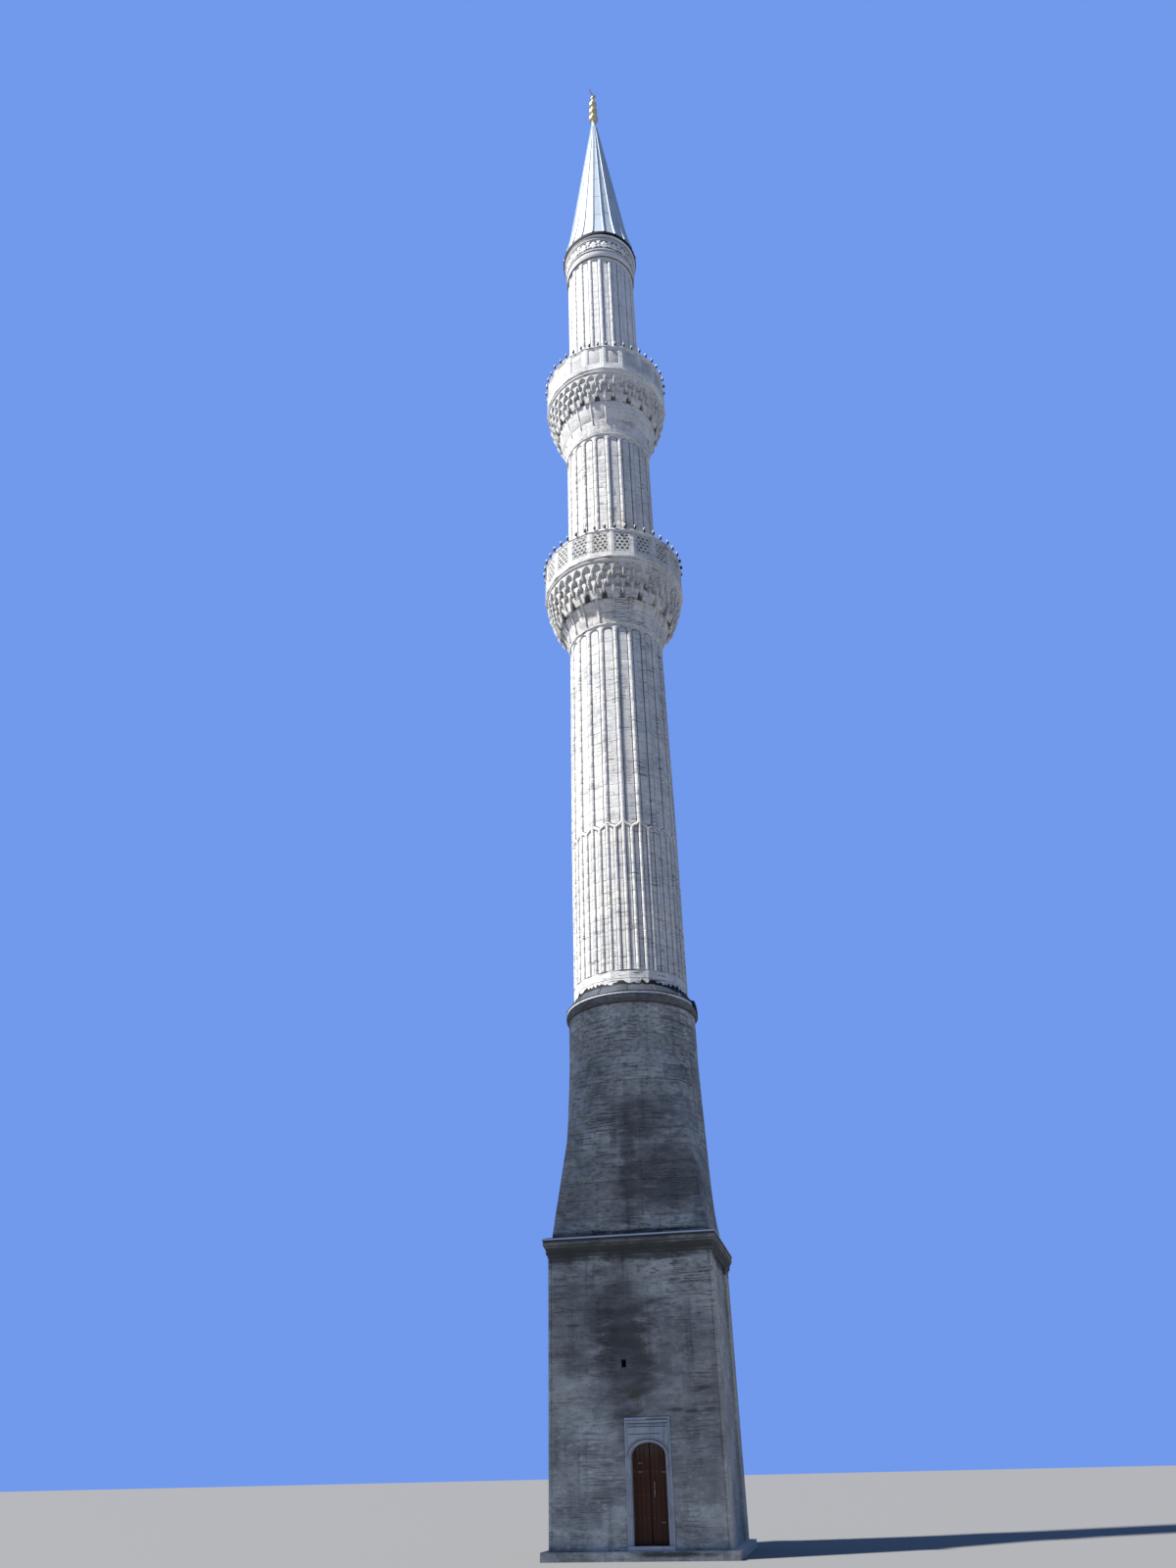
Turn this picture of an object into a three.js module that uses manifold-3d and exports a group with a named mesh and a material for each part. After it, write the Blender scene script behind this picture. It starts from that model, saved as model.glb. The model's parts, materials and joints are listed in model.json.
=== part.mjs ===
// A stone minaret with two corbelled balconies, a lead cap and a gilt finial, as a half-size model.
// Every size is the model's own, in millimetres; the real tower is twice as large.
// +Z is up, the door faces -Y, and the origin is the middle of the flat underside of the plinth.
import * as THREE from 'three';
import { mergeVertices } from 'three/addons/utils/BufferGeometryUtils.js';
import Module from 'manifold-3d';

const wasm = await Module();
wasm.setup();

// The tower is laid out in twenty equal parts, with a rib between each two flat sides
const SIDES = 20;
const STEP = 360 / SIDES;
const HALF_STEP = STEP / 2;
const ROUND = 40;
const SLACK = 0.3;

// Square base
const PLINTH = { half: 1025, top: 85 };
const BASE = { half: 950, chamber: 550, top: 2900, bead: 30, quirk: 8 };
const SIDE_PANEL = { first: 25, second: 45, firstEdge: 480, secondEdge: 400 };
const FLOOR_TOP = 125;
const VENT = { x: -102, z: 1786, width: 56, height: 80 };

// Doorway, right of the middle of the front
const DOOR = { x: 130, half: 185, springing: 915, rise: 120, reveal: 215 };
const SURROUND = { half: 245, top: 1265, proud: 15, depth: 90, sill: 30 };
const LINTEL = { half: 300, bottom: 1062 };
const LEAF = { thickness: 30, overlap: 20, running: 5, middleGap: 7 };
const PIVOT = { radius: 8, socket: 8.6, depth: 20, end: 2 };
const PULL = { x: 174, bottom: 545, top: 680, bar: 12, reach: 26 };

// Square to round
const CORNICE = { top: 3120, half: 1005 };
const TRANSITION = { half: 915, radius: 857, shoulder: 5350, top: 5960 };
const LOWER_VOID = 560;
const MIDDLE_VOID = 540;
const UPPER_VOID = 480;
const RING = {
  radius: 892, crown: 6035, eaves: 876, slope: 6095, top: 6200, seat: 806, sheet: 7, upstand: 22,
};

// Shafts: outer radius over the ribs, and how far the ribs stand out
const RIB = { proud: 18, foot: 17, crest: 9 };
const LOWER = { radius: 786, footTop: 6445, chevron: 8610, top: 12369, void: LOWER_VOID };
const MIDDLE = { radius: 763, top: 16825, void: MIDDLE_VOID };
const UPPER = { radius: 686, top: 22290, void: UPPER_VOID };
const CHEVRON = { drop: 80, width: 30, proud: 17, rise: 62 };

// Balconies: the heights of the corbel courses, floor, rails and coping, and their radii
const LOWER_BALCONY = {
  name: 'lower', foot: 12369, courses: [12790, 13085, 13385], radii: [778, 945, 1062, 1150],
  floorTop: 13490, panelBottom: 13570, panelTop: 14015, railTop: 14030, copingTop: 14075, outer: 1187,
  void: LOWER_VOID,
};
const UPPER_BALCONY = {
  name: 'upper', foot: 16825, courses: [17150, 17600, 18080], radii: [763, 852, 1000, 1108],
  floorTop: 18220, panelBottom: 18325, panelTop: 18780, railTop: 18792, copingTop: 18830, outer: 1150,
  void: MIDDLE_VOID,
};
const NECK = { proud: 14, height: 40 };
const NICHE_DEPTH = 58;
const PARAPET = { thickness: 70, post: 46, recess: 14 };
const BALCONY_DOOR = { half: 145, height: 820, rise: 110, thickness: 30, sill: 30 };

// Bands under the eave, cap and finial
const BAND = { plain: 711, fillet: 728, filletBottom: 22485, filletTop: 22515, frieze: 722 };
const EAVE = { bandTop: 22835, bottom: 22965, top: 23045, cornice: 765, radius: 785, hole: 600 };
const CAP = {
  outside: [
    [776, 23045], [722, 23330], [664, 23680], [616, 24013], [577, 24330], [168, 27714], [74, 28500],
  ],
  shell: 26, crown: 200,
};
const FINIAL = {
  collar: { bottom: 28500, top: 28790, radius: 74 },
  large: { top: 29120, radius: 130 },
  middle: { top: 29460, radius: 98 },
  small: { top: 29760, radius: 82 },
  rod: 30, ball: 52, ballTop: 29980, sides: 16,
  crescent: 125, crescentMiddle: 30150, crescentThickness: 22, crescentTurn: 60,
};

const MATERIALS = {
  shaftStone: new THREE.MeshStandardMaterial({ color: 0xd9d5c9, roughness: 0.85, metalness: 0 }),
  baseStone: new THREE.MeshStandardMaterial({ color: 0x8a8d8e, roughness: 0.9, metalness: 0 }),
  marble: new THREE.MeshStandardMaterial({ color: 0xaab2bb, roughness: 0.6, metalness: 0 }),
  wood: new THREE.MeshStandardMaterial({ color: 0x2e1c14, roughness: 0.6, metalness: 0 }),
  iron: new THREE.MeshStandardMaterial({ color: 0x3a3a3c, roughness: 0.5, metalness: 0.8 }),
  lead: new THREE.MeshStandardMaterial({ color: 0xa9bccb, roughness: 0.45, metalness: 0.6 }),
  leadDark: new THREE.MeshStandardMaterial({ color: 0x22262b, roughness: 0.6, metalness: 0.5 }),
  gilt: new THREE.MeshStandardMaterial({ color: 0xd9a638, roughness: 0.3, metalness: 1 }),
};

const tower = new THREE.Group();

function add(name, geometry, material) {
  const mesh = new THREE.Mesh(geometry, material);
  mesh.name = name;
  tower.add(mesh);
}

// Plan angles run from the door side, -Y, towards +X
function polar(radius, degrees) {
  const angle = THREE.MathUtils.degToRad(degrees);
  return new THREE.Vector2(radius * Math.sin(angle), -radius * Math.cos(angle));
}

function circle(radius, count = SIDES, phase = HALF_STEP) {
  return Array.from({ length: count }, (_, i) => polar(radius, phase + (i * 360) / count));
}

function points(pairs) {
  return pairs.map(([x, y]) => new THREE.Vector2(x, y));
}

// Upright prism from a plan outline, with an optional hole
function prism(outline, bottom, top, hole) {
  const shape = new THREE.Shape(outline);
  if (hole) shape.holes.push(new THREE.Path(hole));
  const geometry = new THREE.ExtrudeGeometry(shape, { depth: top - bottom, bevelEnabled: false });
  return geometry.translate(0, 0, bottom);
}

// Slab from an outline in X and Z, between two depths along Y
function slab(shape, front, back) {
  const geometry = new THREE.ExtrudeGeometry(shape, {
    depth: back - front, bevelEnabled: false, curveSegments: 10,
  });
  return geometry.rotateX(Math.PI / 2).translate(0, back, 0);
}

// Turned ring or body from a profile of [radius, height] that climbs its outside first
function turned(profile, sides = ROUND, phase = HALF_STEP) {
  const start = THREE.MathUtils.degToRad(phase);
  return new THREE.LatheGeometry(points(profile), sides, start).rotateX(Math.PI / 2);
}

// A ring with a round hole, whose outside profile is given from the bottom up
function turnedRing(outside, hole, sides = ROUND) {
  const bottom = outside[0][1];
  const top = outside[outside.length - 1][1];
  return turned([[hole, bottom], ...outside, [hole, top], [hole, bottom]], sides);
}

function solid(geometry) {
  const bare = geometry.clone();
  bare.deleteAttribute('normal');
  bare.deleteAttribute('uv');
  const merged = mergeVertices(bare, 1e-3);
  return new wasm.Manifold(new wasm.Mesh({
    numProp: 3,
    vertProperties: new Float32Array(merged.attributes.position.array),
    triVerts: new Uint32Array(merged.index.array),
  }));
}

function geometryOf(body) {
  const mesh = body.getMesh();
  const geometry = new THREE.BufferGeometry();
  geometry.setAttribute('position', new THREE.BufferAttribute(mesh.vertProperties, 3));
  geometry.setIndex(new THREE.BufferAttribute(mesh.triVerts, 1));
  geometry.computeVertexNormals();
  return geometry;
}

function cut(geometry, ...tools) {
  return geometryOf(tools.reduce((body, tool) => body.subtract(solid(tool)), solid(geometry)));
}

function join(geometry, ...others) {
  return geometryOf(others.reduce((body, other) => body.add(solid(other)), solid(geometry)));
}

function box(low, high) {
  const size = low.map((value, i) => high[i] - value);
  const middle = low.map((value, i) => (high[i] + value) / 2);
  return new THREE.BoxGeometry(...size).translate(...middle);
}

// Closed ring through outlines at several heights, around a round hole
function loftedRing(levels, holeRadius) {
  const count = levels[0].outline.length;
  const hole = circle(holeRadius);
  const bottom = levels[0].z;
  const top = levels[levels.length - 1].z;
  const position = levels.flatMap(({ z, outline }) => outline.flatMap((p) => [p.x, p.y, z]));
  const lowHole = position.length / 3;
  const highHole = lowHole + hole.length;
  position.push(...hole.flatMap((p) => [p.x, p.y, bottom]), ...hole.flatMap((p) => [p.x, p.y, top]));
  const faces = [];
  const band = (low, high, size) => {
    for (let i = 0; i < size; i += 1) {
      const next = (i + 1) % size;
      faces.push(low + i, low + next, high + next, low + i, high + next, high + i);
    }
  };
  for (let level = 0; level + 1 < levels.length; level += 1) {
    band(level * count, (level + 1) * count, count);
  }
  band(highHole, lowHole, hole.length);
  const lid = (outline, first, holeFirst, up) => {
    const plan = [...outline, ...hole];
    const index = (i) => (i < count ? first + i : holeFirst + i - count);
    for (const [a, b, c] of THREE.ShapeUtils.triangulateShape(outline, [hole])) {
      const ab = plan[b].clone().sub(plan[a]);
      const turnsLeft = ab.cross(plan[c].clone().sub(plan[a])) > 0;
      faces.push(index(a), ...(turnsLeft === up ? [index(b), index(c)] : [index(c), index(b)]));
    }
  };
  lid(levels[0].outline, 0, lowHole, false);
  lid(levels[levels.length - 1].outline, (levels.length - 1) * count, highHole, true);
  const geometry = new THREE.BufferGeometry();
  geometry.setAttribute('position', new THREE.Float32BufferAttribute(position, 3));
  geometry.setIndex(faces);
  geometry.computeVertexNormals();
  return geometry;
}

// Many-sided plan with a raised rib on each corner
function ribbedPlan(radius, ribs) {
  const foot = radius - RIB.proud;
  const half = THREE.MathUtils.radToDeg(RIB.foot / radius);
  const crest = THREE.MathUtils.radToDeg(RIB.crest / radius);
  return Array.from({ length: ribs }, (_, i) => HALF_STEP + (i * 360) / ribs).flatMap((angle) => [
    polar(foot, angle - half), polar(radius, angle - crest), polar(radius, angle + crest),
    polar(foot, angle + half),
  ]);
}

// Plan of a stretch of base wall: a bead stands at a corner of the tower, a rebate beside the doorway
function wallPlan(left, right, rebateLeft, rebateRight) {
  const face = -BASE.half;
  const rebate = face - SURROUND.proud + SURROUND.depth;
  const quirk = face + BASE.quirk;
  const bead = face + BASE.bead;
  const corner = [
    [face, face], [bead, face], [bead, quirk], [bead + BASE.quirk, quirk], [bead + BASE.quirk, face],
  ];
  const otherCorner = corner.map(([x, y]) => [-x, y]).reverse();
  const start = rebateLeft ? [[left, rebate], [rebateLeft, rebate], [rebateLeft, face]] : corner;
  const end = rebateRight ? [[rebateRight, face], [rebateRight, rebate], [right, rebate]] : otherCorner;
  return points([[left, -BASE.chamber], ...start, ...end, [right, -BASE.chamber]]);
}

function sideWallPlan(side) {
  const { half, chamber } = BASE;
  const end = chamber - SLACK;
  const { first, second, firstEdge, secondEdge } = SIDE_PANEL;
  const plan = [
    [chamber, -end], [half - first, -end], [half - first, -firstEdge], [half - second, -firstEdge],
    [half - second, -secondEdge], [half - first, -secondEdge], [half - first, secondEdge],
    [half - second, secondEdge], [half - second, firstEdge], [half - first, firstEdge],
    [half - first, end], [chamber, end],
  ];
  return points(plan.map(([x, y]) => [side * x, y]));
}

// Door opening or leaf outline: straight sides under a flat elliptical arch
function archShape(x, half, bottom, springing, rise) {
  const shape = new THREE.Shape();
  shape.moveTo(x - half, bottom);
  shape.lineTo(x + half, bottom);
  shape.lineTo(x + half, springing);
  shape.absellipse(x, springing, half, rise, 0, Math.PI, false, 0);
  shape.closePath();
  return shape;
}

function buildBase() {
  const { baseStone } = MATERIALS;
  const { half, chamber, top } = BASE;
  const face = -half;
  const foot = PLINTH.half;
  add('plinth_course', box([-foot, -foot, 0], [foot, foot, PLINTH.top]), baseStone);
  const inside = chamber - SLACK;
  add('chamber_floor', box([-inside, -inside, PLINTH.top], [inside, inside, FLOOR_TOP]), baseStone);

  const jambs = [DOOR.x - DOOR.reveal, DOOR.x + DOOR.reveal];
  const rebates = [DOOR.x - SURROUND.half - SLACK, DOOR.x + SURROUND.half + SLACK];
  const bearing = box(
    [DOOR.x - LINTEL.half - SLACK, face - SURROUND.proud + SURROUND.depth, LINTEL.bottom],
    [DOOR.x + LINTEL.half + SLACK, -chamber + 1, SURROUND.top],
  );
  const left = prism(wallPlan(face, jambs[0], undefined, rebates[0]), PLINTH.top, top);
  const right = prism(wallPlan(jambs[1], half, rebates[1], undefined), PLINTH.top, top);
  const vent = box(
    [VENT.x - VENT.width / 2, face - 1, VENT.z - VENT.height / 2],
    [VENT.x + VENT.width / 2, -chamber + 1, VENT.z + VENT.height / 2],
  );
  add('front_wall_left', cut(left, bearing, vent), baseStone);
  add('front_wall_right', cut(right, bearing), baseStone);
  const overDoor = wallPlan(
    jambs[0] + SLACK, jambs[1] - SLACK, rebates[0] + SLACK, rebates[1] - SLACK,
  );
  add('front_wall_over_door', cut(prism(overDoor, SURROUND.top, top), vent), baseStone);
  add('side_wall_left', prism(sideWallPlan(-1), PLINTH.top, top), baseStone);
  add('side_wall_right', prism(sideWallPlan(1), PLINTH.top, top), baseStone);
  const back = wallPlan(face, half).map((p) => new THREE.Vector2(p.x, -p.y));
  add('back_wall', prism(back, PLINTH.top, top), baseStone);
}

function buildDoorway() {
  const { marble, baseStone, wood, iron } = MATERIALS;
  const front = -BASE.half - SURROUND.proud;
  const behind = front + SURROUND.depth;
  const jamb = SURROUND.half;
  const inner = -BASE.chamber - SLACK;
  const sill = points([
    [DOOR.x - jamb, front - SURROUND.sill], [DOOR.x + jamb, front - SURROUND.sill],
    [DOOR.x + jamb, behind - SLACK],
    [DOOR.x + DOOR.reveal - SLACK, behind - SLACK], [DOOR.x + DOOR.reveal - SLACK, inner],
    [DOOR.x - DOOR.reveal + SLACK, inner], [DOOR.x - DOOR.reveal + SLACK, behind - SLACK],
    [DOOR.x - jamb, behind - SLACK],
  ]);
  const leafOuter = DOOR.half + LEAF.overlap;
  const leafFront = behind + LEAF.running;
  const axisY = leafFront + LEAF.thickness / 2;
  const pivots = [DOOR.x - leafOuter + LEAF.thickness / 2, DOOR.x + leafOuter - LEAF.thickness / 2];
  const pin = (x, radius, bottom, top) => {
    const rod = new THREE.CylinderGeometry(radius, radius, top - bottom, 12);
    return rod.rotateX(Math.PI / 2).translate(x, axisY, (bottom + top) / 2);
  };
  const socketBottom = FLOOR_TOP - PIVOT.depth;
  const socketTop = LINTEL.bottom + PIVOT.depth;
  const lowSockets = pivots.map((x) => pin(x, PIVOT.socket, socketBottom, FLOOR_TOP + 1));
  const highSockets = pivots.map((x) => pin(x, PIVOT.socket, LINTEL.bottom - 1, socketTop));
  add('door_threshold', cut(prism(sill, PLINTH.top, FLOOR_TOP), ...lowSockets), marble);

  const frame = new THREE.Shape(points([
    [DOOR.x - jamb, FLOOR_TOP], [DOOR.x - DOOR.half, FLOOR_TOP], [DOOR.x - DOOR.half, DOOR.springing],
  ]));
  frame.absellipse(DOOR.x, DOOR.springing, DOOR.half, DOOR.rise, Math.PI, 0, true, 0);
  frame.lineTo(DOOR.x + DOOR.half, FLOOR_TOP);
  frame.lineTo(DOOR.x + jamb, FLOOR_TOP);
  frame.lineTo(DOOR.x + jamb, SURROUND.top);
  frame.lineTo(DOOR.x - jamb, SURROUND.top);
  frame.closePath();
  add('door_surround', slab(frame, front, behind - SLACK), marble);

  const lintel = box(
    [DOOR.x - LINTEL.half, behind, LINTEL.bottom],
    [DOOR.x + LINTEL.half, -BASE.chamber, SURROUND.top],
  );
  add('door_lintel', cut(lintel, ...highSockets), baseStone);

  const leafBottom = FLOOR_TOP + LEAF.running;
  const leafTop = LINTEL.bottom - LEAF.running;
  const leaf = (side, x) => {
    const plan = new THREE.Shape();
    const meeting = DOOR.x + (side * LEAF.middleGap) / 2;
    plan.moveTo(meeting, leafFront);
    plan.lineTo(meeting, leafFront + LEAF.thickness);
    plan.lineTo(x, leafFront + LEAF.thickness);
    plan.absarc(x, axisY, LEAF.thickness / 2, Math.PI / 2, -Math.PI / 2, side > 0);
    plan.closePath();
    const body = prism(plan.getPoints(8), leafBottom, leafTop);
    const low = pin(x, PIVOT.radius, socketBottom + PIVOT.end, leafBottom + PIVOT.depth);
    const high = pin(x, PIVOT.radius, leafTop - PIVOT.depth, socketTop - PIVOT.end);
    return join(body, low, high);
  };
  add('door_leaf_left', leaf(-1, pivots[0]), wood);
  add('door_leaf_right', leaf(1, pivots[1]), wood);

  const { bar, reach } = PULL;
  const grip = leafFront - reach;
  const upright = box([PULL.x - bar / 2, grip, PULL.bottom], [PULL.x + bar / 2, grip + bar, PULL.top]);
  const feet = [PULL.bottom, PULL.top - bar].map((z) => box(
    [PULL.x - bar / 2, grip + 1, z], [PULL.x + bar / 2, leafFront - SLACK, z + bar],
  ));
  add('door_pull', join(upright, ...feet), iron);
}

function buildTransition() {
  const { baseStone, leadDark } = MATERIALS;
  const c = BASE.top;
  const square = [
    [958, c], [975, c + 28], [975, c + 92], [988, c + 108], [CORNICE.half, c + 165],
    [CORNICE.half, c + 208], [940, CORNICE.top],
  ];
  const corner = Math.SQRT2;
  const cornice = turnedRing(square.map(([r, z]) => [r * corner, z]), BASE.chamber * corner, 4);
  add('base_cornice', cornice.rotateZ(THREE.MathUtils.degToRad(45 - HALF_STEP)), baseStone);

  const count = ROUND;
  const plan = (roundness) => Array.from({ length: count }, (_, i) => {
    const angle = HALF_STEP + (i * 360) / count;
    const direction = polar(1, angle);
    const square = TRANSITION.half / Math.max(Math.abs(direction.x), Math.abs(direction.y));
    return direction.multiplyScalar(THREE.MathUtils.lerp(square, TRANSITION.radius, roundness));
  });
  const steps = [0, 0.35, 0.7, 1];
  const levels = steps.map((t) => ({
    z: THREE.MathUtils.lerp(CORNICE.top, TRANSITION.shoulder, t), outline: plan(t),
  }));
  levels.push({ z: TRANSITION.top, outline: plan(1) });
  add('transition', loftedRing(levels, LOWER_VOID), baseStone);

  const base = TRANSITION.top;
  const ring = [
    [TRANSITION.radius + 3, base], [RING.radius, RING.crown], [RING.eaves, RING.slope],
    [RING.seat, RING.top],
  ];
  add('shaft_ring', turnedRing(ring, LOWER_VOID), baseStone);
  const across = new THREE.Vector2(RING.top - RING.slope, RING.eaves - RING.seat).normalize();
  const offset = (r, z, distance) => [r + across.x * distance, z + across.y * distance];
  const low = offset(RING.eaves, RING.slope, SLACK);
  const high = offset(RING.seat, RING.top, SLACK);
  const upstand = LOWER.radius + RING.sheet;
  const sheet = [
    low, offset(RING.eaves, RING.slope, RING.sheet), offset(RING.seat, RING.top, RING.sheet),
    [upstand, high[1] + RING.upstand], [upstand, RING.top + SLACK], high, low,
  ];
  add('ring_flashing', turned(sheet), leadDark);
}

function buildLowerShaft() {
  const { shaftStone } = MATERIALS;
  const hole = circle(LOWER.void);
  add('shaft_foot', prism(circle(LOWER.radius, ROUND), RING.top, LOWER.footTop, hole), shaftStone);
  const closeRibs = ribbedPlan(LOWER.radius, 2 * SIDES);
  add('lower_shaft_close_ribs', prism(closeRibs, LOWER.footTop, LOWER.chevron, hole), shaftStone);

  const shaft = prism(ribbedPlan(LOWER.radius, SIDES), LOWER.chevron, LOWER.top, hole);
  const flat = (LOWER.radius - RIB.proud) * Math.cos(THREE.MathUtils.degToRad(HALF_STEP));
  const across = flat * Math.tan(THREE.MathUtils.degToRad(HALF_STEP));
  const lean = Math.atan2(CHEVRON.drop, across);
  const length = Math.hypot(CHEVRON.drop, across);
  const bars = Array.from({ length: 2 * SIDES }, (_, i) => {
    const side = i % 2 ? 1 : -1;
    const bar = new THREE.BoxGeometry(length, CHEVRON.proud + 20, CHEVRON.width);
    bar.rotateY(-side * lean);
    bar.translate((side * across) / 2, -flat - CHEVRON.proud / 2 + 10, LOWER.chevron + CHEVRON.rise);
    return bar.rotateZ(THREE.MathUtils.degToRad(STEP * Math.floor(i / 2)));
  });
  add('lower_shaft', join(shaft, ...bars), shaftStone);
}

// Star-shaped plan of a corbel course: feet on the ribs or between them, hollow niches in the rest
function corbelPlan(foot, niche, phase) {
  return Array.from({ length: SIDES }, (_, i) => phase + i * STEP).flatMap((angle) => [
    polar(foot, angle), polar((foot + niche) / 2, angle + STEP * 0.2),
    polar(niche, angle + HALF_STEP), polar((foot + niche) / 2, angle + STEP * 0.8),
  ]);
}

function buildBalcony(balcony) {
  const { shaftStone } = MATERIALS;
  const { name, courses, radii, outer } = balcony;
  const flare = (radii[1] - radii[0]) / 2;
  const rise = courses[0] - balcony.foot;
  const bell = [
    [radii[0] + NECK.proud, balcony.foot], [radii[0] + NECK.proud, balcony.foot + NECK.height],
    [radii[0] + 4, balcony.foot + NECK.height], [radii[0] + flare * 0.6, balcony.foot + rise * 0.5],
    [radii[1] - NICHE_DEPTH * 0.4, courses[0]],
  ];
  add(`${name}_corbel_bell`, turnedRing(bell, balcony.void), shaftStone);
  for (const [course, phase] of [[1, HALF_STEP], [2, 0]]) {
    const [under, over] = [courses[course - 1], courses[course]];
    const [inner, outward] = [radii[course], radii[course + 1]];
    const level = (share, depth) => {
      const reach = THREE.MathUtils.lerp(inner, outward, share);
      const outline = corbelPlan(reach, reach - depth, phase);
      return { z: THREE.MathUtils.lerp(under, over, share), outline };
    };
    const levels = [level(0, NICHE_DEPTH), level(0.5, NICHE_DEPTH * 0.7), level(1, 8)];
    add(`${name}_corbel_course_${course}`, loftedRing(levels, balcony.void), shaftStone);
  }
  const floor = courses[2];
  const lip = balcony.floorTop - floor;
  const edge = [
    [outer - 35, floor], [outer - 27, floor + lip * 0.3], [outer - 15, floor + lip * 0.35],
    [outer - 15, floor + lip * 0.6], [outer, floor + lip * 0.75], [outer, balcony.floorTop],
  ];
  add(`${name}_balcony_floor`, turnedRing(edge, balcony.void, SIDES), shaftStone);

  const rail = outer - 9;
  const hole = circle(rail - PARAPET.thickness);
  const wall = prism(circle(rail), balcony.floorTop, balcony.railTop, hole);
  const flat = rail * Math.cos(THREE.MathUtils.degToRad(HALF_STEP));
  const width = 2 * rail * Math.sin(THREE.MathUtils.degToRad(HALF_STEP)) - 2 * PARAPET.post;
  const panels = Array.from({ length: SIDES }, (_, i) => box(
    [-width / 2, -flat - 20, balcony.panelBottom],
    [width / 2, -flat + PARAPET.recess, balcony.panelTop],
  ).rotateZ(THREE.MathUtils.degToRad(i * STEP)));
  add(`${name}_parapet`, cut(wall, ...panels), shaftStone);

  const cope = [
    [outer - 6, balcony.railTop], [outer, balcony.railTop + 12], [outer, balcony.copingTop - 15],
    [outer - 20, balcony.copingTop],
  ];
  add(`${name}_coping`, turnedRing(cope, rail - PARAPET.thickness - 10, SIDES), shaftStone);
}

function balconyArch(bottom, half) {
  const top = bottom + BALCONY_DOOR.height;
  return archShape(0, half, bottom, top - BALCONY_DOOR.rise, BALCONY_DOOR.rise);
}

// Shaft that starts on a balcony floor, with a doorway on the side away from the front
function buildBalconyShaft(name, shaft, balcony) {
  const bottom = balcony.floorTop + BALCONY_DOOR.sill;
  const doorway = slab(balconyArch(bottom, BALCONY_DOOR.half), shaft.void * 0.6, shaft.radius + 60);
  const walls = prism(ribbedPlan(shaft.radius, SIDES), balcony.floorTop, shaft.top, circle(shaft.void));
  add(`${name}_shaft`, cut(walls, doorway), MATERIALS.shaftStone);
  const front = (shaft.radius + shaft.void) / 2 - BALCONY_DOOR.thickness / 2;
  const leaf = slab(balconyArch(bottom, BALCONY_DOOR.half - SLACK), front, front + BALCONY_DOOR.thickness);
  const scale = (BALCONY_DOOR.height - SLACK) / BALCONY_DOOR.height;
  leaf.translate(0, 0, -bottom).scale(1, 1, scale).translate(0, 0, bottom);
  add(`${balcony.name}_balcony_door`, leaf, MATERIALS.wood);
}

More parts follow.
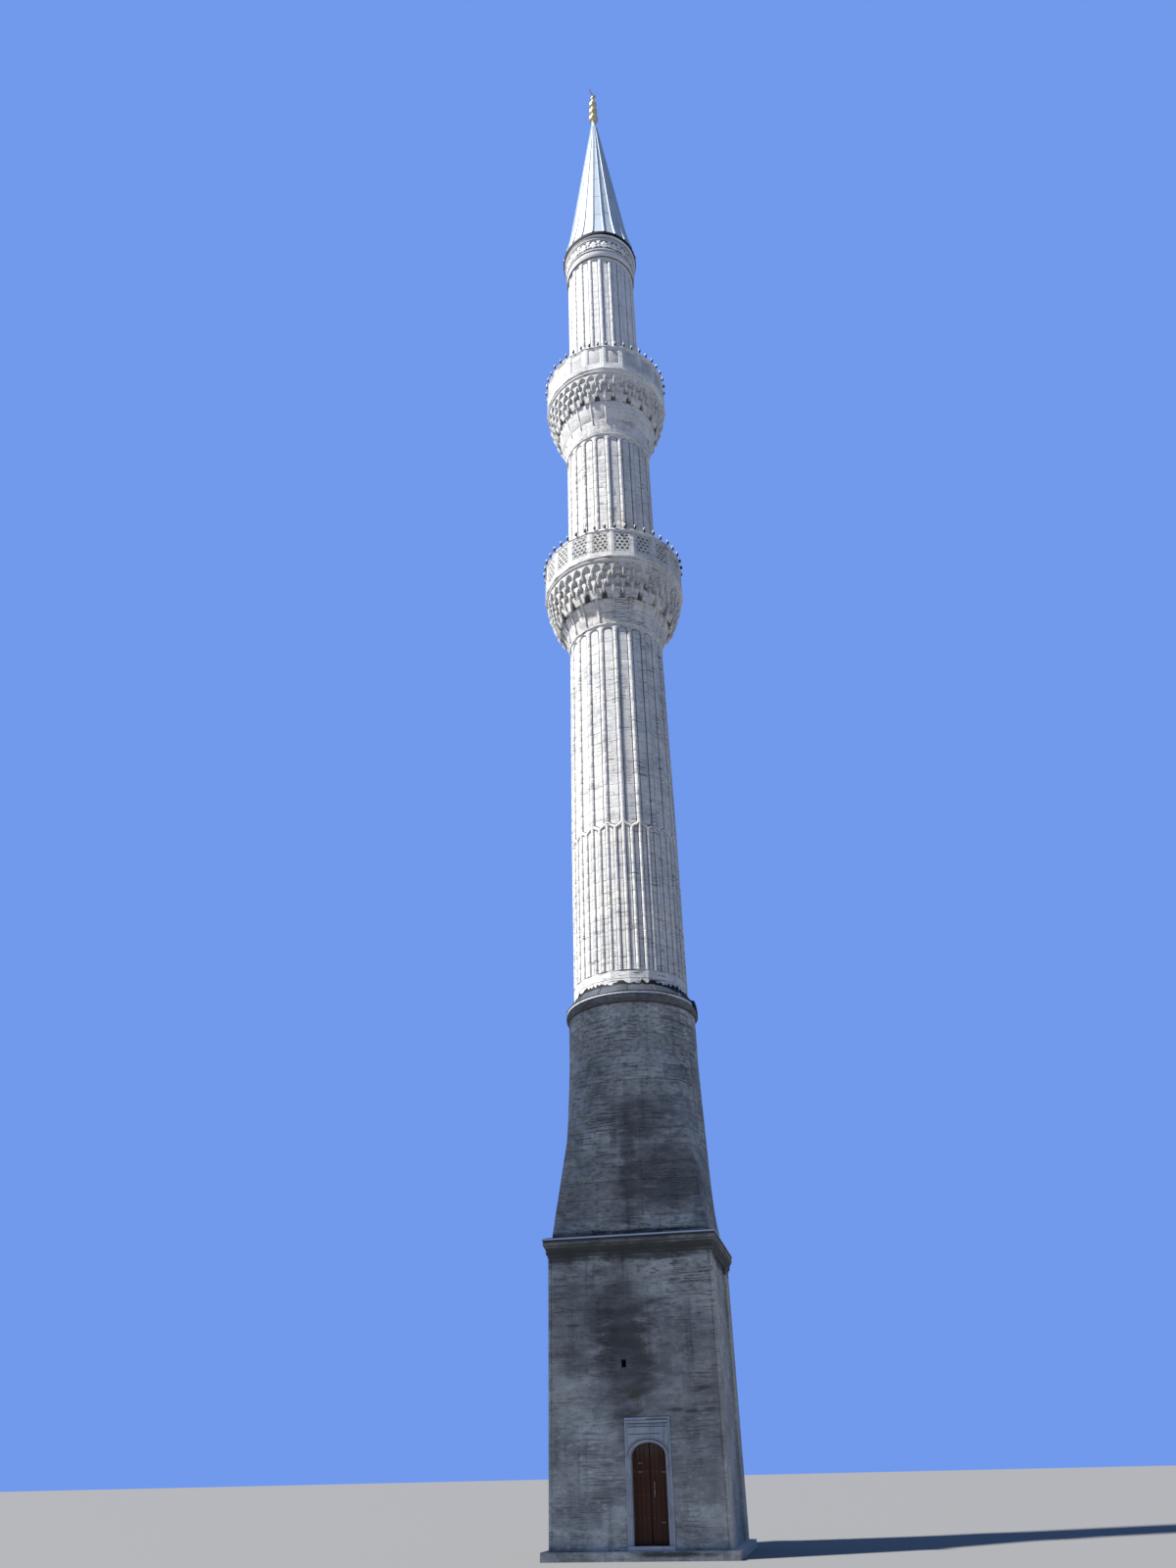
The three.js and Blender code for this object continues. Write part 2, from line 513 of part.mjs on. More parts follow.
function buildTop() {
  const { shaftStone, lead, leadDark, gilt } = MATERIALS;
  const start = UPPER.top;
  const band = [
    [BAND.plain, start], [BAND.plain, BAND.filletBottom], [BAND.fillet, BAND.filletBottom + 8],
    [BAND.fillet, BAND.filletTop], [BAND.frieze, BAND.filletTop + 8], [BAND.frieze, EAVE.bandTop],
  ];
  add('carved_band', turnedRing(band, UPPER_VOID), shaftStone);
  const cornice = [
    [EAVE.cornice - 29, EAVE.bandTop], [EAVE.cornice - 17, EAVE.bandTop + 70],
    [EAVE.cornice, EAVE.bottom - 25], [EAVE.cornice, EAVE.bottom],
  ];
  add('eave_cornice', turnedRing(cornice, UPPER_VOID), shaftStone);
  add('eave_rim', turnedRing([[EAVE.radius, EAVE.bottom], [EAVE.radius, EAVE.top]], EAVE.hole), leadDark);

  const outside = CAP.outside;
  const inside = outside.slice(0, -1).map(([r, z]) => [r - CAP.shell, z]);
  const crown = inside[inside.length - 1];
  const profile = [
    inside[0], ...outside, [0, outside[outside.length - 1][1]], [0, crown[1] + CAP.crown],
    ...inside.slice().reverse(),
  ];
  add('cap', turned(profile, SIDES), lead);

  const { collar, large, middle, small, rod, ball, ballTop, crescent, crescentMiddle } = FINIAL;
  const jar = (bottom, top, radius, neck) => {
    const h = top - bottom;
    return turned([
      [0, bottom], [neck, bottom], [radius * 0.72, bottom + h * 0.18], [radius, bottom + h * 0.42],
      [radius * 0.86, bottom + h * 0.66], [radius * 0.5, bottom + h * 0.84], [neck, top], [0, top],
    ], FINIAL.sides);
  };
  const collarProfile = [
    [0, collar.bottom], [collar.radius, collar.bottom], [collar.radius * 0.8, collar.bottom + 60],
    [45, collar.bottom + 200], [58, collar.bottom + 240], [40, collar.top], [0, collar.top],
  ];
  add('finial_collar', turned(collarProfile, FINIAL.sides), lead);
  add('finial_large_jar', jar(collar.top, large.top, large.radius, 40), gilt);
  add('finial_middle_jar', jar(large.top, middle.top, middle.radius, 36), gilt);
  add('finial_small_jar', jar(middle.top, small.top, small.radius, rod), gilt);

  const knob = turned([
    [0, small.top], [rod, small.top], [rod * 0.7, small.top + 40], [ball, small.top + 110],
    [ball * 0.8, small.top + 160], [rod * 0.6, ballTop], [rod * 0.5, ballTop + 65], [0, ballTop + 65],
  ], FINIAL.sides);
  const moon = new THREE.Shape();
  const open = THREE.MathUtils.degToRad(58);
  moon.absarc(0, crescentMiddle, crescent, Math.PI - open, open, false);
  const lift = crescent * 0.38;
  const tipPoint = new THREE.Vector2(crescent * Math.cos(open), crescent * Math.sin(open) - lift);
  const innerOpen = Math.atan2(tipPoint.y, tipPoint.x);
  moon.absarc(0, crescentMiddle + lift, tipPoint.length(), innerOpen, Math.PI - innerOpen, true);
  const blade = slab(moon, -FINIAL.crescentThickness / 2, FINIAL.crescentThickness / 2);
  blade.rotateZ(THREE.MathUtils.degToRad(FINIAL.crescentTurn));
  add('finial_crescent', join(knob, blade), gilt);
}

buildBase();
buildDoorway();
buildTransition();
buildLowerShaft();
buildBalcony(LOWER_BALCONY);
buildBalconyShaft('middle', MIDDLE, LOWER_BALCONY);
buildBalcony(UPPER_BALCONY);
buildBalconyShaft('upper', UPPER, UPPER_BALCONY);
buildTop();

export default tower;
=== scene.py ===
"""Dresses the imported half-size stone minaret: cut stone, carving, lead, gilding, door, light and camera."""

from __future__ import annotations

import json
import logging
import math
from dataclasses import dataclass, field
from enum import Enum
from functools import cache
from typing import Callable, Sequence

import bpy
import numpy as np
from mathutils import Matrix, Vector

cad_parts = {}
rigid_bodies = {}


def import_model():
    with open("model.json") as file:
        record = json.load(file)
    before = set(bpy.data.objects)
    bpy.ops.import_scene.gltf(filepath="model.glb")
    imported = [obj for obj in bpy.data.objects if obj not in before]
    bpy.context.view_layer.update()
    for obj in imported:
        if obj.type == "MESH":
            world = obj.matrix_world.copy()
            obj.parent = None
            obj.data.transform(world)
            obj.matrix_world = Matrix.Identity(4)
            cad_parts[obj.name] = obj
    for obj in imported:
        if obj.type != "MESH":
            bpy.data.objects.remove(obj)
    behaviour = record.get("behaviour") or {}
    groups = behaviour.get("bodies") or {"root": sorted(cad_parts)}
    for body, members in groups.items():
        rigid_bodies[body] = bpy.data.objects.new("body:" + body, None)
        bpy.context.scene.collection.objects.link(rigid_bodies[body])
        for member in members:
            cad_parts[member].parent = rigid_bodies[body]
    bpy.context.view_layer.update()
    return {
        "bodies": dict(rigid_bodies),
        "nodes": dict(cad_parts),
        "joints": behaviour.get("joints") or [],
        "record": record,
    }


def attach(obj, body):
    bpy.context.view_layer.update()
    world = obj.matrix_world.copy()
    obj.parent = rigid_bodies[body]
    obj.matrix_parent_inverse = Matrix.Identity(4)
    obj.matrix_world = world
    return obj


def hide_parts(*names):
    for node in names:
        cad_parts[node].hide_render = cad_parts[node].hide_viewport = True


logging.basicConfig(level=logging.INFO, format="%(name)s: %(message)s")
log = logging.getLogger("minaret")

Array = np.ndarray
Colour = tuple[float, float, float]
Profile = Sequence[tuple[Array | float, float]]
Face = Callable[[Array, Array, Array], Array]

# Sides of the tower, of a plain round wall and of a fine moulding, and a lathe's settings for a square
SIDES = 20
STEP = math.tau / SIDES
HALF_STEP = STEP / 2
ROUND = 40
FINE = 80
SQUARE = (4, math.pi / 4, math.sqrt(2))


# Shading

class Term:
    """A shader value that can stand in a Python expression."""

    def __init__(self, recipe: Recipe, socket: bpy.types.NodeSocket) -> None:
        """Wraps one output socket of a recipe's node."""
        self.recipe = recipe
        self.socket = socket

    def _math(self, operation: str, first: Term | float, second: Term | float) -> Term:
        """Adds one Math node and returns its value."""
        return self.recipe.node("ShaderNodeMath", {"operation": operation}, {0: first, 1: second})

    def __add__(self, other: Term | float) -> Term:
        """Sum."""
        return self._math("ADD", self, other)

    def __radd__(self, other: float) -> Term:
        """Sum with a number on the left."""
        return self._math("ADD", other, self)

    def __sub__(self, other: Term | float) -> Term:
        """Difference."""
        return self._math("SUBTRACT", self, other)

    def __rsub__(self, other: float) -> Term:
        """Difference from a number on the left."""
        return self._math("SUBTRACT", other, self)

    def __mul__(self, other: Term | float) -> Term:
        """Product."""
        return self._math("MULTIPLY", self, other)

    def __rmul__(self, other: float) -> Term:
        """Product with a number on the left."""
        return self._math("MULTIPLY", other, self)


class Recipe:
    """One material's node tree while it is being made."""

    def __init__(self, name: str) -> None:
        """Starts a material that holds a Principled shader.

        Args:
            name: The material's name.
        """
        self.material = bpy.data.materials.new(name)
        self.material.use_nodes = True
        self.tree = self.material.node_tree
        self.shader = self.tree.nodes["Principled BSDF"]

    def node(self, kind: str, settings: dict | None = None, inputs: dict | None = None,
             output: int | str = 0) -> Term:
        """Adds a node.

        Args:
            kind: The node's type name.
            settings: Properties, set first.
            inputs: Values or terms by socket name or number.
            output: The socket that the term stands for.

        Returns:
            The chosen output as a term.
        """
        made = self.tree.nodes.new(kind)
        for key, value in (settings or {}).items():
            setattr(made, key, value)
        for key, value in (inputs or {}).items():
            self.feed(made.inputs[key], value)
        return Term(self, made.outputs[output])

    def feed(self, socket: bpy.types.NodeSocket, value: Term | float | Colour) -> None:
        """Links a term to a socket, or sets the socket's own value.

        Args:
            socket: The socket to fill.
            value: A term, a number or a colour.
        """
        if isinstance(value, Term):
            self.tree.links.new(value.socket, socket)
        elif isinstance(value, tuple) and socket.type == "RGBA":
            socket.default_value = (*value, 1.0)
        else:
            socket.default_value = value

    def surface(self, **sockets: Term | float | Colour) -> bpy.types.Material:
        """Feeds the shader's sockets, named with underscores, and returns the material.

        Args:
            sockets: Terms or values by socket name.

        Returns:
            The material.
        """
        for name, value in sockets.items():
            self.feed(self.shader.inputs[name.replace("_", " ").title()], value)
        return self.material

    def place(self) -> Term:
        """The point of the surface in the tower's own frame, in metres."""
        return self.node("ShaderNodeTexCoord", output="Object")

    def noise(self, size: tuple[float, float, float], detail: float = 3.0, seed: float = 0.0,
              roughness: float = 0.55) -> Term:
        """Noise from 0 to 1 whose lumps measure about size, in metres along X, Y and Z.

        Args:
            size: The lumps' size.
            detail: Octaves.
            seed: Moves the pattern.
            roughness: Weight of the finer octaves.

        Returns:
            The noise.
        """
        scale = tuple(1.0 / s for s in size)
        spread = self.node("ShaderNodeVectorMath", {"operation": "MULTIPLY_ADD"},
                           {0: self.place(), 1: scale, 2: (seed, seed * 1.7, seed * 0.6)})
        return self.node("ShaderNodeTexNoise", {},
                         {"Vector": spread, "Scale": 1.0, "Detail": detail, "Roughness": roughness})

    def band(self, value: Term, low: float, high: float) -> Term:
        """A smooth rise from 0 at low to 1 at high."""
        return self.node("ShaderNodeMapRange", {"interpolation_type": "SMOOTHSTEP"},
                         {"Value": value, "From Min": low, "From Max": high})

    def mix(self, mask: Term | float, under: Term | Colour, over: Term | Colour) -> Term:
        """Lays one colour over another by a mask."""
        return self.node("ShaderNodeMix", {"data_type": "RGBA"}, {0: mask, 6: under, 7: over}, 2)

    def mark(self, name: str) -> Term:
        """A value that the mesh holds at its points."""
        return self.node("ShaderNodeAttribute", {"attribute_name": name}, output="Fac")

    def axes(self) -> tuple[Term, Term, Term]:
        """The place's X, Y and Z as three terms."""
        outputs = self.node("ShaderNodeSeparateXYZ", {}, {0: self.place()}).socket.node.outputs
        return Term(self, outputs[0]), Term(self, outputs[1]), Term(self, outputs[2])

    def bump(self, height: Term, distance: float) -> Term:
        """A normal from a height that stands for the given distance, in metres."""
        return self.node("ShaderNodeBump", {}, {"Strength": 1.0, "Distance": distance, "Height": height})


@dataclass(frozen=True)
class Patch:
    """A soft-edged dark place on the stone, such as water stains, and in a few places painted shade."""

    middle: tuple[float, float, float]
    reach: tuple[float, float, float]
    strength: float

    def mask(self, recipe: Recipe, edge: Term) -> Term:
        """How far a point lies in the patch, with its edge broken by noise.

        Args:
            recipe: The material being made.
            edge: Noise that breaks the edge.

        Returns:
            The patch's cover, from 0 to its strength.
        """
        scale = tuple(1.0 / r for r in self.reach)
        shift = tuple(-m / r for m, r in zip(self.middle, self.reach))
        near = recipe.node("ShaderNodeVectorMath", {"operation": "MULTIPLY_ADD"},
                           {0: recipe.place(), 1: scale, 2: shift})
        far = recipe.node("ShaderNodeVectorMath", {"operation": "LENGTH"}, {0: near}, "Value")
        return (1 - recipe.band(far + edge, 0.35, 1.1)) * self.strength


def level_stain_and_shade(height: float, reach: float, strength: float, around: float = 2.6) -> Patch:
    """A dark band that runs level all round the tower, for stains and for painted shade along creases and
    gaps.
    """
    return Patch((0.0, 0.0, height), (around, around, reach), strength)


@dataclass(frozen=True)
class Limestone:
    """Weathered shelly limestone with fine level beds, rain marks, and darkened joints and hollows: partly
    sooty grime, partly painted shade.
    """

    name: str
    pale: Colour
    deep: Colour
    bed: Colour
    # Near-black colour for sooty grime, rain runs and scores, and for painted shade in hollows and creases.
    soot_and_shade_colour: Colour
    bed_strength: float = 0.5
    run_strength: float = 0.3
    tone_strength: float = 0.35
    score_strength: float = 0.6
    score_size: tuple[float, float, float] = (0.24, 0.24, 0.017)
    mottle_strength: float = 0.15
    # A near-white colour, for pale flecks and for the paler top of the shaft.
    pale_white: Colour = (0.90, 0.90, 0.89)
    upward_paling: float = 0.0
    # Painted light on the base's right side: its colour, and how strongly it is laid on.
    painted_light_side: Colour = (0.66, 0.60, 0.51)
    painted_light_side_strength: float = 0.0
    calm: float = 0.0
    ragged: tuple[float, float, float] = (0.22, 0.22, 0.42)
    patches: tuple[Patch, ...] = ()
    moss: tuple[Patch, ...] = ()
    moss_colour: Colour = (0.070, 0.082, 0.042)

    def build(self) -> bpy.types.Material:
        """Makes the material.

        Returns:
            The finished material.
        """
        r = Recipe(self.name)
        across, _, level = r.axes()
        rough_part = 1 - (1 - r.band(level, 1.2, 3.2)) * self.calm
        cloud = r.noise((0.45, 0.45, 0.32), 4.0, 3.1)
        colour = r.mix(r.band(cloud, 0.34, 0.66), self.pale, self.deep)
        tone = r.mark("tone")
        colour = r.mix(r.band(tone, 0.1, 1.0) * self.tone_strength, colour, self.deep)
        warm = r.noise((0.9, 0.9, 0.5), 2.0, 8.4)
        tint = tuple(c * w for c, w in zip(self.pale, (1.04, 0.98, 0.90)))
        colour = r.mix(r.band(warm, 0.5, 0.75) * 0.5, colour, tint)
        beds = r.noise((0.55, 0.55, 0.020), 5.0, 1.7, 0.68)
        bedded = r.noise((0.7, 0.7, 0.24), 2.0, 5.2)
        bed_mask = r.band(beds, 0.54, 0.68) * r.band(bedded, 0.40, 0.62)
        colour = r.mix(bed_mask * self.bed_strength * rough_part, colour, self.bed)
        scores = r.noise(self.score_size, 3.0, 12.4, 0.6)
        scored = r.noise((0.30, 0.30, 0.55), 3.0, 7.9)
        score_mask = r.band(scores, 0.55, 0.62) * r.band(scored, 0.45, 0.60)
        colour = r.mix(score_mask * self.score_strength * rough_part, colour, self.soot_and_shade_colour)
        runs = r.noise((0.10, 0.10, 1.5), 4.0, 6.6)
        run_cover = r.noise((0.8, 0.8, 1.3), 2.0, 2.3)
        run_mask = r.band(runs, 0.50, 0.70) * r.band(run_cover, 0.40, 0.66)
        colour = r.mix(run_mask * self.run_strength, colour, self.soot_and_shade_colour)
        # Painted light: the right side of the base is drawn lighter and warmer, as if lit from the right.
        colour = r.mix(r.band(across, 0.90, 0.96) * self.painted_light_side_strength, colour, self.painted_light_side)
        mottle = r.noise((0.07, 0.07, 0.035), 4.0, 14.2, 0.65)
        colour = r.mix(r.band(mottle, 0.50, 0.66) * self.mottle_strength * rough_part, colour, self.bed)
        colour = r.mix(r.band(mottle, 0.46, 0.32) * self.mottle_strength * 0.4, colour, self.pale_white)
        edge = (r.noise(self.ragged, 6.0, 9.9, 0.62) - 0.5) * 1.9 + (mottle - 0.5) * 1.3
        for patch in self.patches:
            colour = r.mix(patch.mask(r, edge), colour, self.soot_and_shade_colour)
        for patch in self.moss:
            colour = r.mix(patch.mask(r, edge), colour, self.moss_colour)
        # Paler towards the top of the shaft.
        colour = r.mix(r.band(level, 15.0, 21.5) * self.upward_paling, colour, self.pale_white)
        # Darkens joints, hollows and creases: dark joints and sooty grime, and painted shade where the
        # carving is deep.
        soot_and_shade_mark = r.mark("soot_and_shade_mark")
        colour = r.mix(r.band(soot_and_shade_mark, 0.05, 0.85) * 0.94, colour, self.soot_and_shade_colour)
        grain = r.noise((0.012, 0.012, 0.008), 3.0, 4.0)
        colour = r.mix(r.band(grain, 0.60, 0.72) * 0.22, colour, self.bed)
        height = grain * 0.35 - bed_mask * 0.65 - score_mask - r.band(grain, 0.62, 0.70) * 0.4
        rough = 0.86 + (cloud - 0.5) * 0.16
        return r.surface(base_color=colour, roughness=rough, normal=r.bump(height, 0.0035))


@dataclass(frozen=True)
class SheetMetal:
    """Sheet lead or another dressed metal, slightly dented, with a soft bloom."""

    name: str
    bright: Colour
    dull: Colour
    metallic: float
    roughness: float
    dents: float
    stain_and_shade: Colour

    def build(self) -> bpy.types.Material:
        """Makes the material.

        Returns:
            The finished material.
        """
        r = Recipe(self.name)
        bloom = r.noise((0.25, 0.25, 1.1), 4.0, 2.0)
        runs = r.noise((0.05, 0.05, 0.9), 3.0, 5.5)
        colour = r.mix(r.band(bloom, 0.35, 0.68), self.bright, self.dull)
        colour = r.mix(r.band(runs, 0.56, 0.72) * 0.35, colour, self.dull)
        tone = r.mark("tone")
        colour = r.mix(r.band(tone, -1.0, 0.6) * 0.30, colour, self.dull)
        # Points whose tone is near 1 take the darkest colour. On the dark lead this is painted shade on the
        # eave's rolled edge and in the flashing's gap; on the cap it darkens the laps.
        colour = r.mix(r.band(tone, 0.8, 1.0), colour, self.stain_and_shade)
        dents = r.noise((0.16, 0.16, 0.30), 2.0, 7.7)
        rough = self.roughness + (bloom - 0.5) * 0.22
        return r.surface(base_color=colour, roughness=rough, metallic=self.metallic,
                         normal=r.bump(dents, self.dents))


@dataclass(frozen=True)
class Boards:
    """Stained boards, greyed by weather near the top of the arch."""

    name: str = "stained_boards"
    brown: Colour = (0.052, 0.016, 0.004)
    red: Colour = (0.085, 0.026, 0.007)
    grey: Colour = (0.078, 0.068, 0.062)

    def build(self) -> bpy.types.Material:
        """Makes the material.

        Returns:
            The finished material.
        """
        r = Recipe(self.name)
        figure = r.noise((0.007, 0.007, 0.24), 5.0, 1.2, 0.62)
        broad = r.noise((0.05, 0.05, 0.55), 3.0, 4.4)
        colour = r.mix(r.band(figure, 0.36, 0.66), self.brown, self.red)
        colour = r.mix(r.band(broad, 0.45, 0.72) * 0.5, colour, self.brown)
        tone = r.mark("tone")
        colour = r.mix(r.band(tone, 0.0, 1.0) * 0.4, colour, self.red)
        _, _, height = r.axes()
        worn = r.band(height + (broad - 0.5) * 0.25, 0.86, 1.02)
        colour = r.mix(worn * 0.75, colour, self.grey)
        # Near-black painted shade in the gaps between the boards.
        colour = r.mix(r.mark("soot_and_shade_mark") * 0.85, colour, (0.012, 0.008, 0.006))
        rough = 0.68 + figure * 0.22
        return r.surface(base_color=colour, roughness=rough, normal=r.bump(figure, 0.0012))


@dataclass(frozen=True)
class Marble:
    """Worn blue-grey marble with faint slanting veins."""

    name: str = "veined_marble"
    pale: Colour = (0.46, 0.49, 0.53)
    vein: Colour = (0.27, 0.30, 0.35)
    # Dark colour for grime runs, and for painted shade in the carving's hollows.
    dirt_and_shade: Colour = (0.09, 0.10, 0.115)

    def build(self) -> bpy.types.Material:
        """Makes the material.

        Returns:
            The finished material.
        """
        r = Recipe(self.name)
        slant = r.node("ShaderNodeVectorRotate", {"rotation_type": "EULER_XYZ"},
                       {"Vector": r.place(), "Rotation": (0.3, 0.6, 0.2)})
        vein = r.node("ShaderNodeTexNoise", {},
                      {"Vector": slant, "Scale": 6.5, "Detail": 5.0, "Distortion": 1.8})
        cloud = r.noise((0.25, 0.25, 0.25), 3.0, 5.1)
        colour = r.mix(r.band(cloud, 0.3, 0.7) * 0.35, self.pale, self.vein)
        colour = r.mix(r.band(vein, 0.53, 0.60) * 0.45, colour, self.vein)
        runs = r.noise((0.06, 0.06, 0.5), 4.0, 3.3)
        colour = r.mix(r.band(runs, 0.52, 0.7) * 0.35, colour, self.dirt_and_shade)
        # Painted shade in the carving's hollows and creases, in the same dark colour as the grime runs.
        colour = r.mix(r.mark("soot_and_shade_mark") * 0.95, colour, self.dirt_and_shade)
        pits = r.noise((0.01, 0.01, 0.01), 3.0, 2.2)
        rough = 0.52 + (cloud - 0.5) * 0.3
        return r.surface(base_color=colour, roughness=rough, normal=r.bump(pits, 0.0012))


@dataclass(frozen=True)
class Gilding:
    """Gold leaf over copper, a little worn and uneven."""

    name: str
    gold: Colour
    worn: Colour
    roughness: float = 0.26

    def build(self) -> bpy.types.Material:
        """Makes the material.

        Returns:
            The finished material.
        """
        r = Recipe(self.name)
        wear = r.noise((0.05, 0.05, 0.07), 5.0, 6.0)
        colour = r.mix(r.band(wear, 0.54, 0.72), self.gold, self.worn)
        ripple = r.noise((0.03, 0.03, 0.02), 2.0, 1.0)
        rough = self.roughness + r.band(wear, 0.5, 0.75) * 0.25
        return r.surface(base_color=colour, roughness=rough, metallic=0.6,
                         normal=r.bump(ripple, 0.002))


@dataclass(frozen=True)
class PlainFinish:
    """A small fitting's finish: one colour broken by fine noise."""

    name: str
    colour: Colour
    shade: Colour
    roughness: float
    metallic: float = 0.0

    def build(self) -> bpy.types.Material:
        """Makes the material.

        Returns:
            The finished material.
        """
        r = Recipe(self.name)
        mottle = r.noise((0.02, 0.02, 0.03), 4.0, 3.0)
        colour = r.mix(r.band(mottle, 0.4, 0.65), self.colour, self.shade)
        rough = self.roughness + (mottle - 0.5) * 0.2
        return r.surface(base_color=colour, roughness=rough, metallic=self.metallic,
                         normal=r.bump(mottle, 0.0006))


class Finish(Enum):
    """The tower's finishes, each with the record's material slot that it dresses."""

    SHAFT = "shaft_stone"
    BASE = "base_stone"
    MARBLE = "marble"
    BOARDS = "door_wood"
    IRON = "iron"
    LEAD = "lead"
    DARK_LEAD = "dark_lead"
    GILT = "gilt"
    BULB = "lamp_glass"
    SOCKET = "lamp_socket"


SHAFT_STONE = Limestone(
    "shaft_limestone", pale=(0.76, 0.745, 0.71), deep=(0.62, 0.625, 0.62), bed=(0.20, 0.215, 0.235),
    soot_and_shade_colour=(0.075, 0.073, 0.072), bed_strength=0.72, run_strength=0.3, tone_strength=0.25, score_strength=0.75,
    upward_paling=0.55, mottle_strength=0.4,
    patches=(
        Patch((0.206, -0.744, 10.356), (0.24, 0.12, 0.010), 1.0),
        Patch((0.249, -0.745, 7.880), (0.13, 0.10, 0.012), 1.0),
        Patch((0.100, -0.780, 6.432), (0.14, 0.10, 0.010), 1.0),
        Patch((0.220, -0.760, 6.395), (0.06, 0.10, 0.010), 1.0),
        # A dark band on the foot along the top of the lead: painted shade of the gap.
        level_stain_and_shade(6.238, 0.020, 1.0, 2.4),
    ),
)
BASE_STONE = Limestone(
    "base_limestone", pale=(0.485, 0.50, 0.48), deep=(0.265, 0.275, 0.27), bed=(0.105, 0.11, 0.11),
    soot_and_shade_colour=(0.040, 0.042, 0.043), bed_strength=0.9, run_strength=0.5, tone_strength=0.85, score_strength=0.75,
    score_size=(0.36, 0.36, 0.013), mottle_strength=0.75, ragged=(0.30, 0.30, 0.10), painted_light_side_strength=0.6,
    calm=0.55,
    patches=(
        Patch((-0.12, -0.95, 2.40), (0.46, 0.60, 0.75), 0.52),
        Patch((-0.07, -0.95, 1.80), (0.42, 0.60, 0.80), 0.70),
        Patch((-0.60, -0.95, 2.20), (0.45, 0.60, 0.60), 0.50),
        Patch((0.60, -0.95, 1.50), (0.80, 0.60, 1.00), 0.30),
        # A dark band just under the cornice.
        level_stain_and_shade(2.87, 0.060, 0.85),
        level_stain_and_shade(3.04, 0.060, 0.55),
        Patch((0.46, -0.96, 1.33), (0.10, 0.30, 0.025), 0.65),
        Patch((0.61, -0.96, 1.31), (0.09, 0.30, 0.020), 0.65),
        Patch((0.81, -0.96, 1.33), (0.08, 0.30, 0.020), 0.55),
        Patch((0.75, -0.96, 1.53), (0.12, 0.30, 0.030), 0.7),
        Patch((0.35, -1.00, 0.06), (0.50, 0.30, 0.030), 0.90),
        Patch((0.20, -0.85, 4.45), (0.60, 0.70, 0.30), 0.60),
        Patch((0.45, -0.88, 3.75), (0.65, 0.70, 0.45), 0.55),
        Patch((0.02, -0.90, 4.00), (0.12, 0.50, 1.00), 0.50),
        level_stain_and_shade(3.75, 0.75, 0.38, 2.4),
        level_stain_and_shade(4.90, 0.60, 0.20, 2.4),
        # A dark line where the transition stands on the cornice: sooty grime and painted shade in the crease.
        level_stain_and_shade(3.15, 0.040, 1.0),
    ),
    moss=(
        Patch((0.00, -0.95, 1.47), (0.12, 0.30, 0.090), 0.75),
        level_stain_and_shade(2.965, 0.075, 0.85),
    ),
)
RECIPES = {
    Finish.SHAFT: SHAFT_STONE,
    Finish.BASE: BASE_STONE,
    Finish.MARBLE: Marble(),
    Finish.BOARDS: Boards(),
    Finish.IRON: PlainFinish("old_iron", (0.16, 0.15, 0.145), (0.30, 0.28, 0.26), 0.55, 0.8),
    Finish.LEAD: SheetMetal("sheet_lead", bright=(0.57, 0.65, 0.71), dull=(0.48, 0.555, 0.62),
                            stain_and_shade=(0.34, 0.38, 0.44), metallic=0.1, roughness=0.62, dents=0.006),
    # Its darkest colour, near black, is painted shade on the eave's rolled edge and in the gap at the top of
    # the flashing.
    Finish.DARK_LEAD: SheetMetal("dark_lead", bright=(0.070, 0.085, 0.115), dull=(0.04, 0.048, 0.062),
                                 stain_and_shade=(0.006, 0.007, 0.009), metallic=0.4, roughness=0.7, dents=0.005),
    Finish.GILT: Gilding("gold_leaf", (0.90, 0.70, 0.36), (0.62, 0.45, 0.22), 0.34),
    Finish.BULB: PlainFinish("pale_bulb", (0.90, 0.92, 0.94), (0.78, 0.80, 0.82), 0.2),
    Finish.SOCKET: PlainFinish("black_socket", (0.015, 0.016, 0.018), (0.03, 0.03, 0.032), 0.5),
}


@cache
def material(finish: Finish) -> bpy.types.Material:
    """The finish's material, made once."""
    return RECIPES[finish].build()


# Meshes

def polar(radius: Array | float, angle: Array | float, height: Array | float) -> Array:
    """Points at a radius and height; angles run from the door side, -Y, towards +X."""
    radius, angle, height = np.broadcast_arrays(radius, angle, height)
    return np.stack([radius * np.sin(angle), -radius * np.cos(angle), height], axis=-1)


def turned_about(points: Array, angle: float) -> Array:
    """The points turned about the tower's axis.

    Args:
        points: Points in any shape of array.
        angle: The turn, in radians.

    Returns:
        The turned points.
    """
    c, s = math.cos(angle), math.sin(angle)
    x, y = points[..., 0] * c - points[..., 1] * s, points[..., 0] * s + points[..., 1] * c
    return np.stack([x, y, points[..., 2]], axis=-1)


def edged(values: Array, chamfer: float) -> Array:
    """The values with one more a chamfer's width inside each end.

    Args:
        values: Rising values.
        chamfer: The chamfer's width.

    Returns:
        The values with the two more.
    """
    low, high = values[0], values[-1]
    inner = values[(values > low + chamfer * 1.5) & (values < high - chamfer * 1.5)]
    return np.concatenate([[low, low + chamfer], inner, [high - chamfer, high]])


def roll(radius: float, height: float, out: float, rise: float, count: int = 7) -> Profile:
    """A half-round bead's outline about a height, standing out from a radius."""
    return [(radius + out * math.sin(t), height - rise * math.cos(t)) for t in np.linspace(0, math.pi, count)]


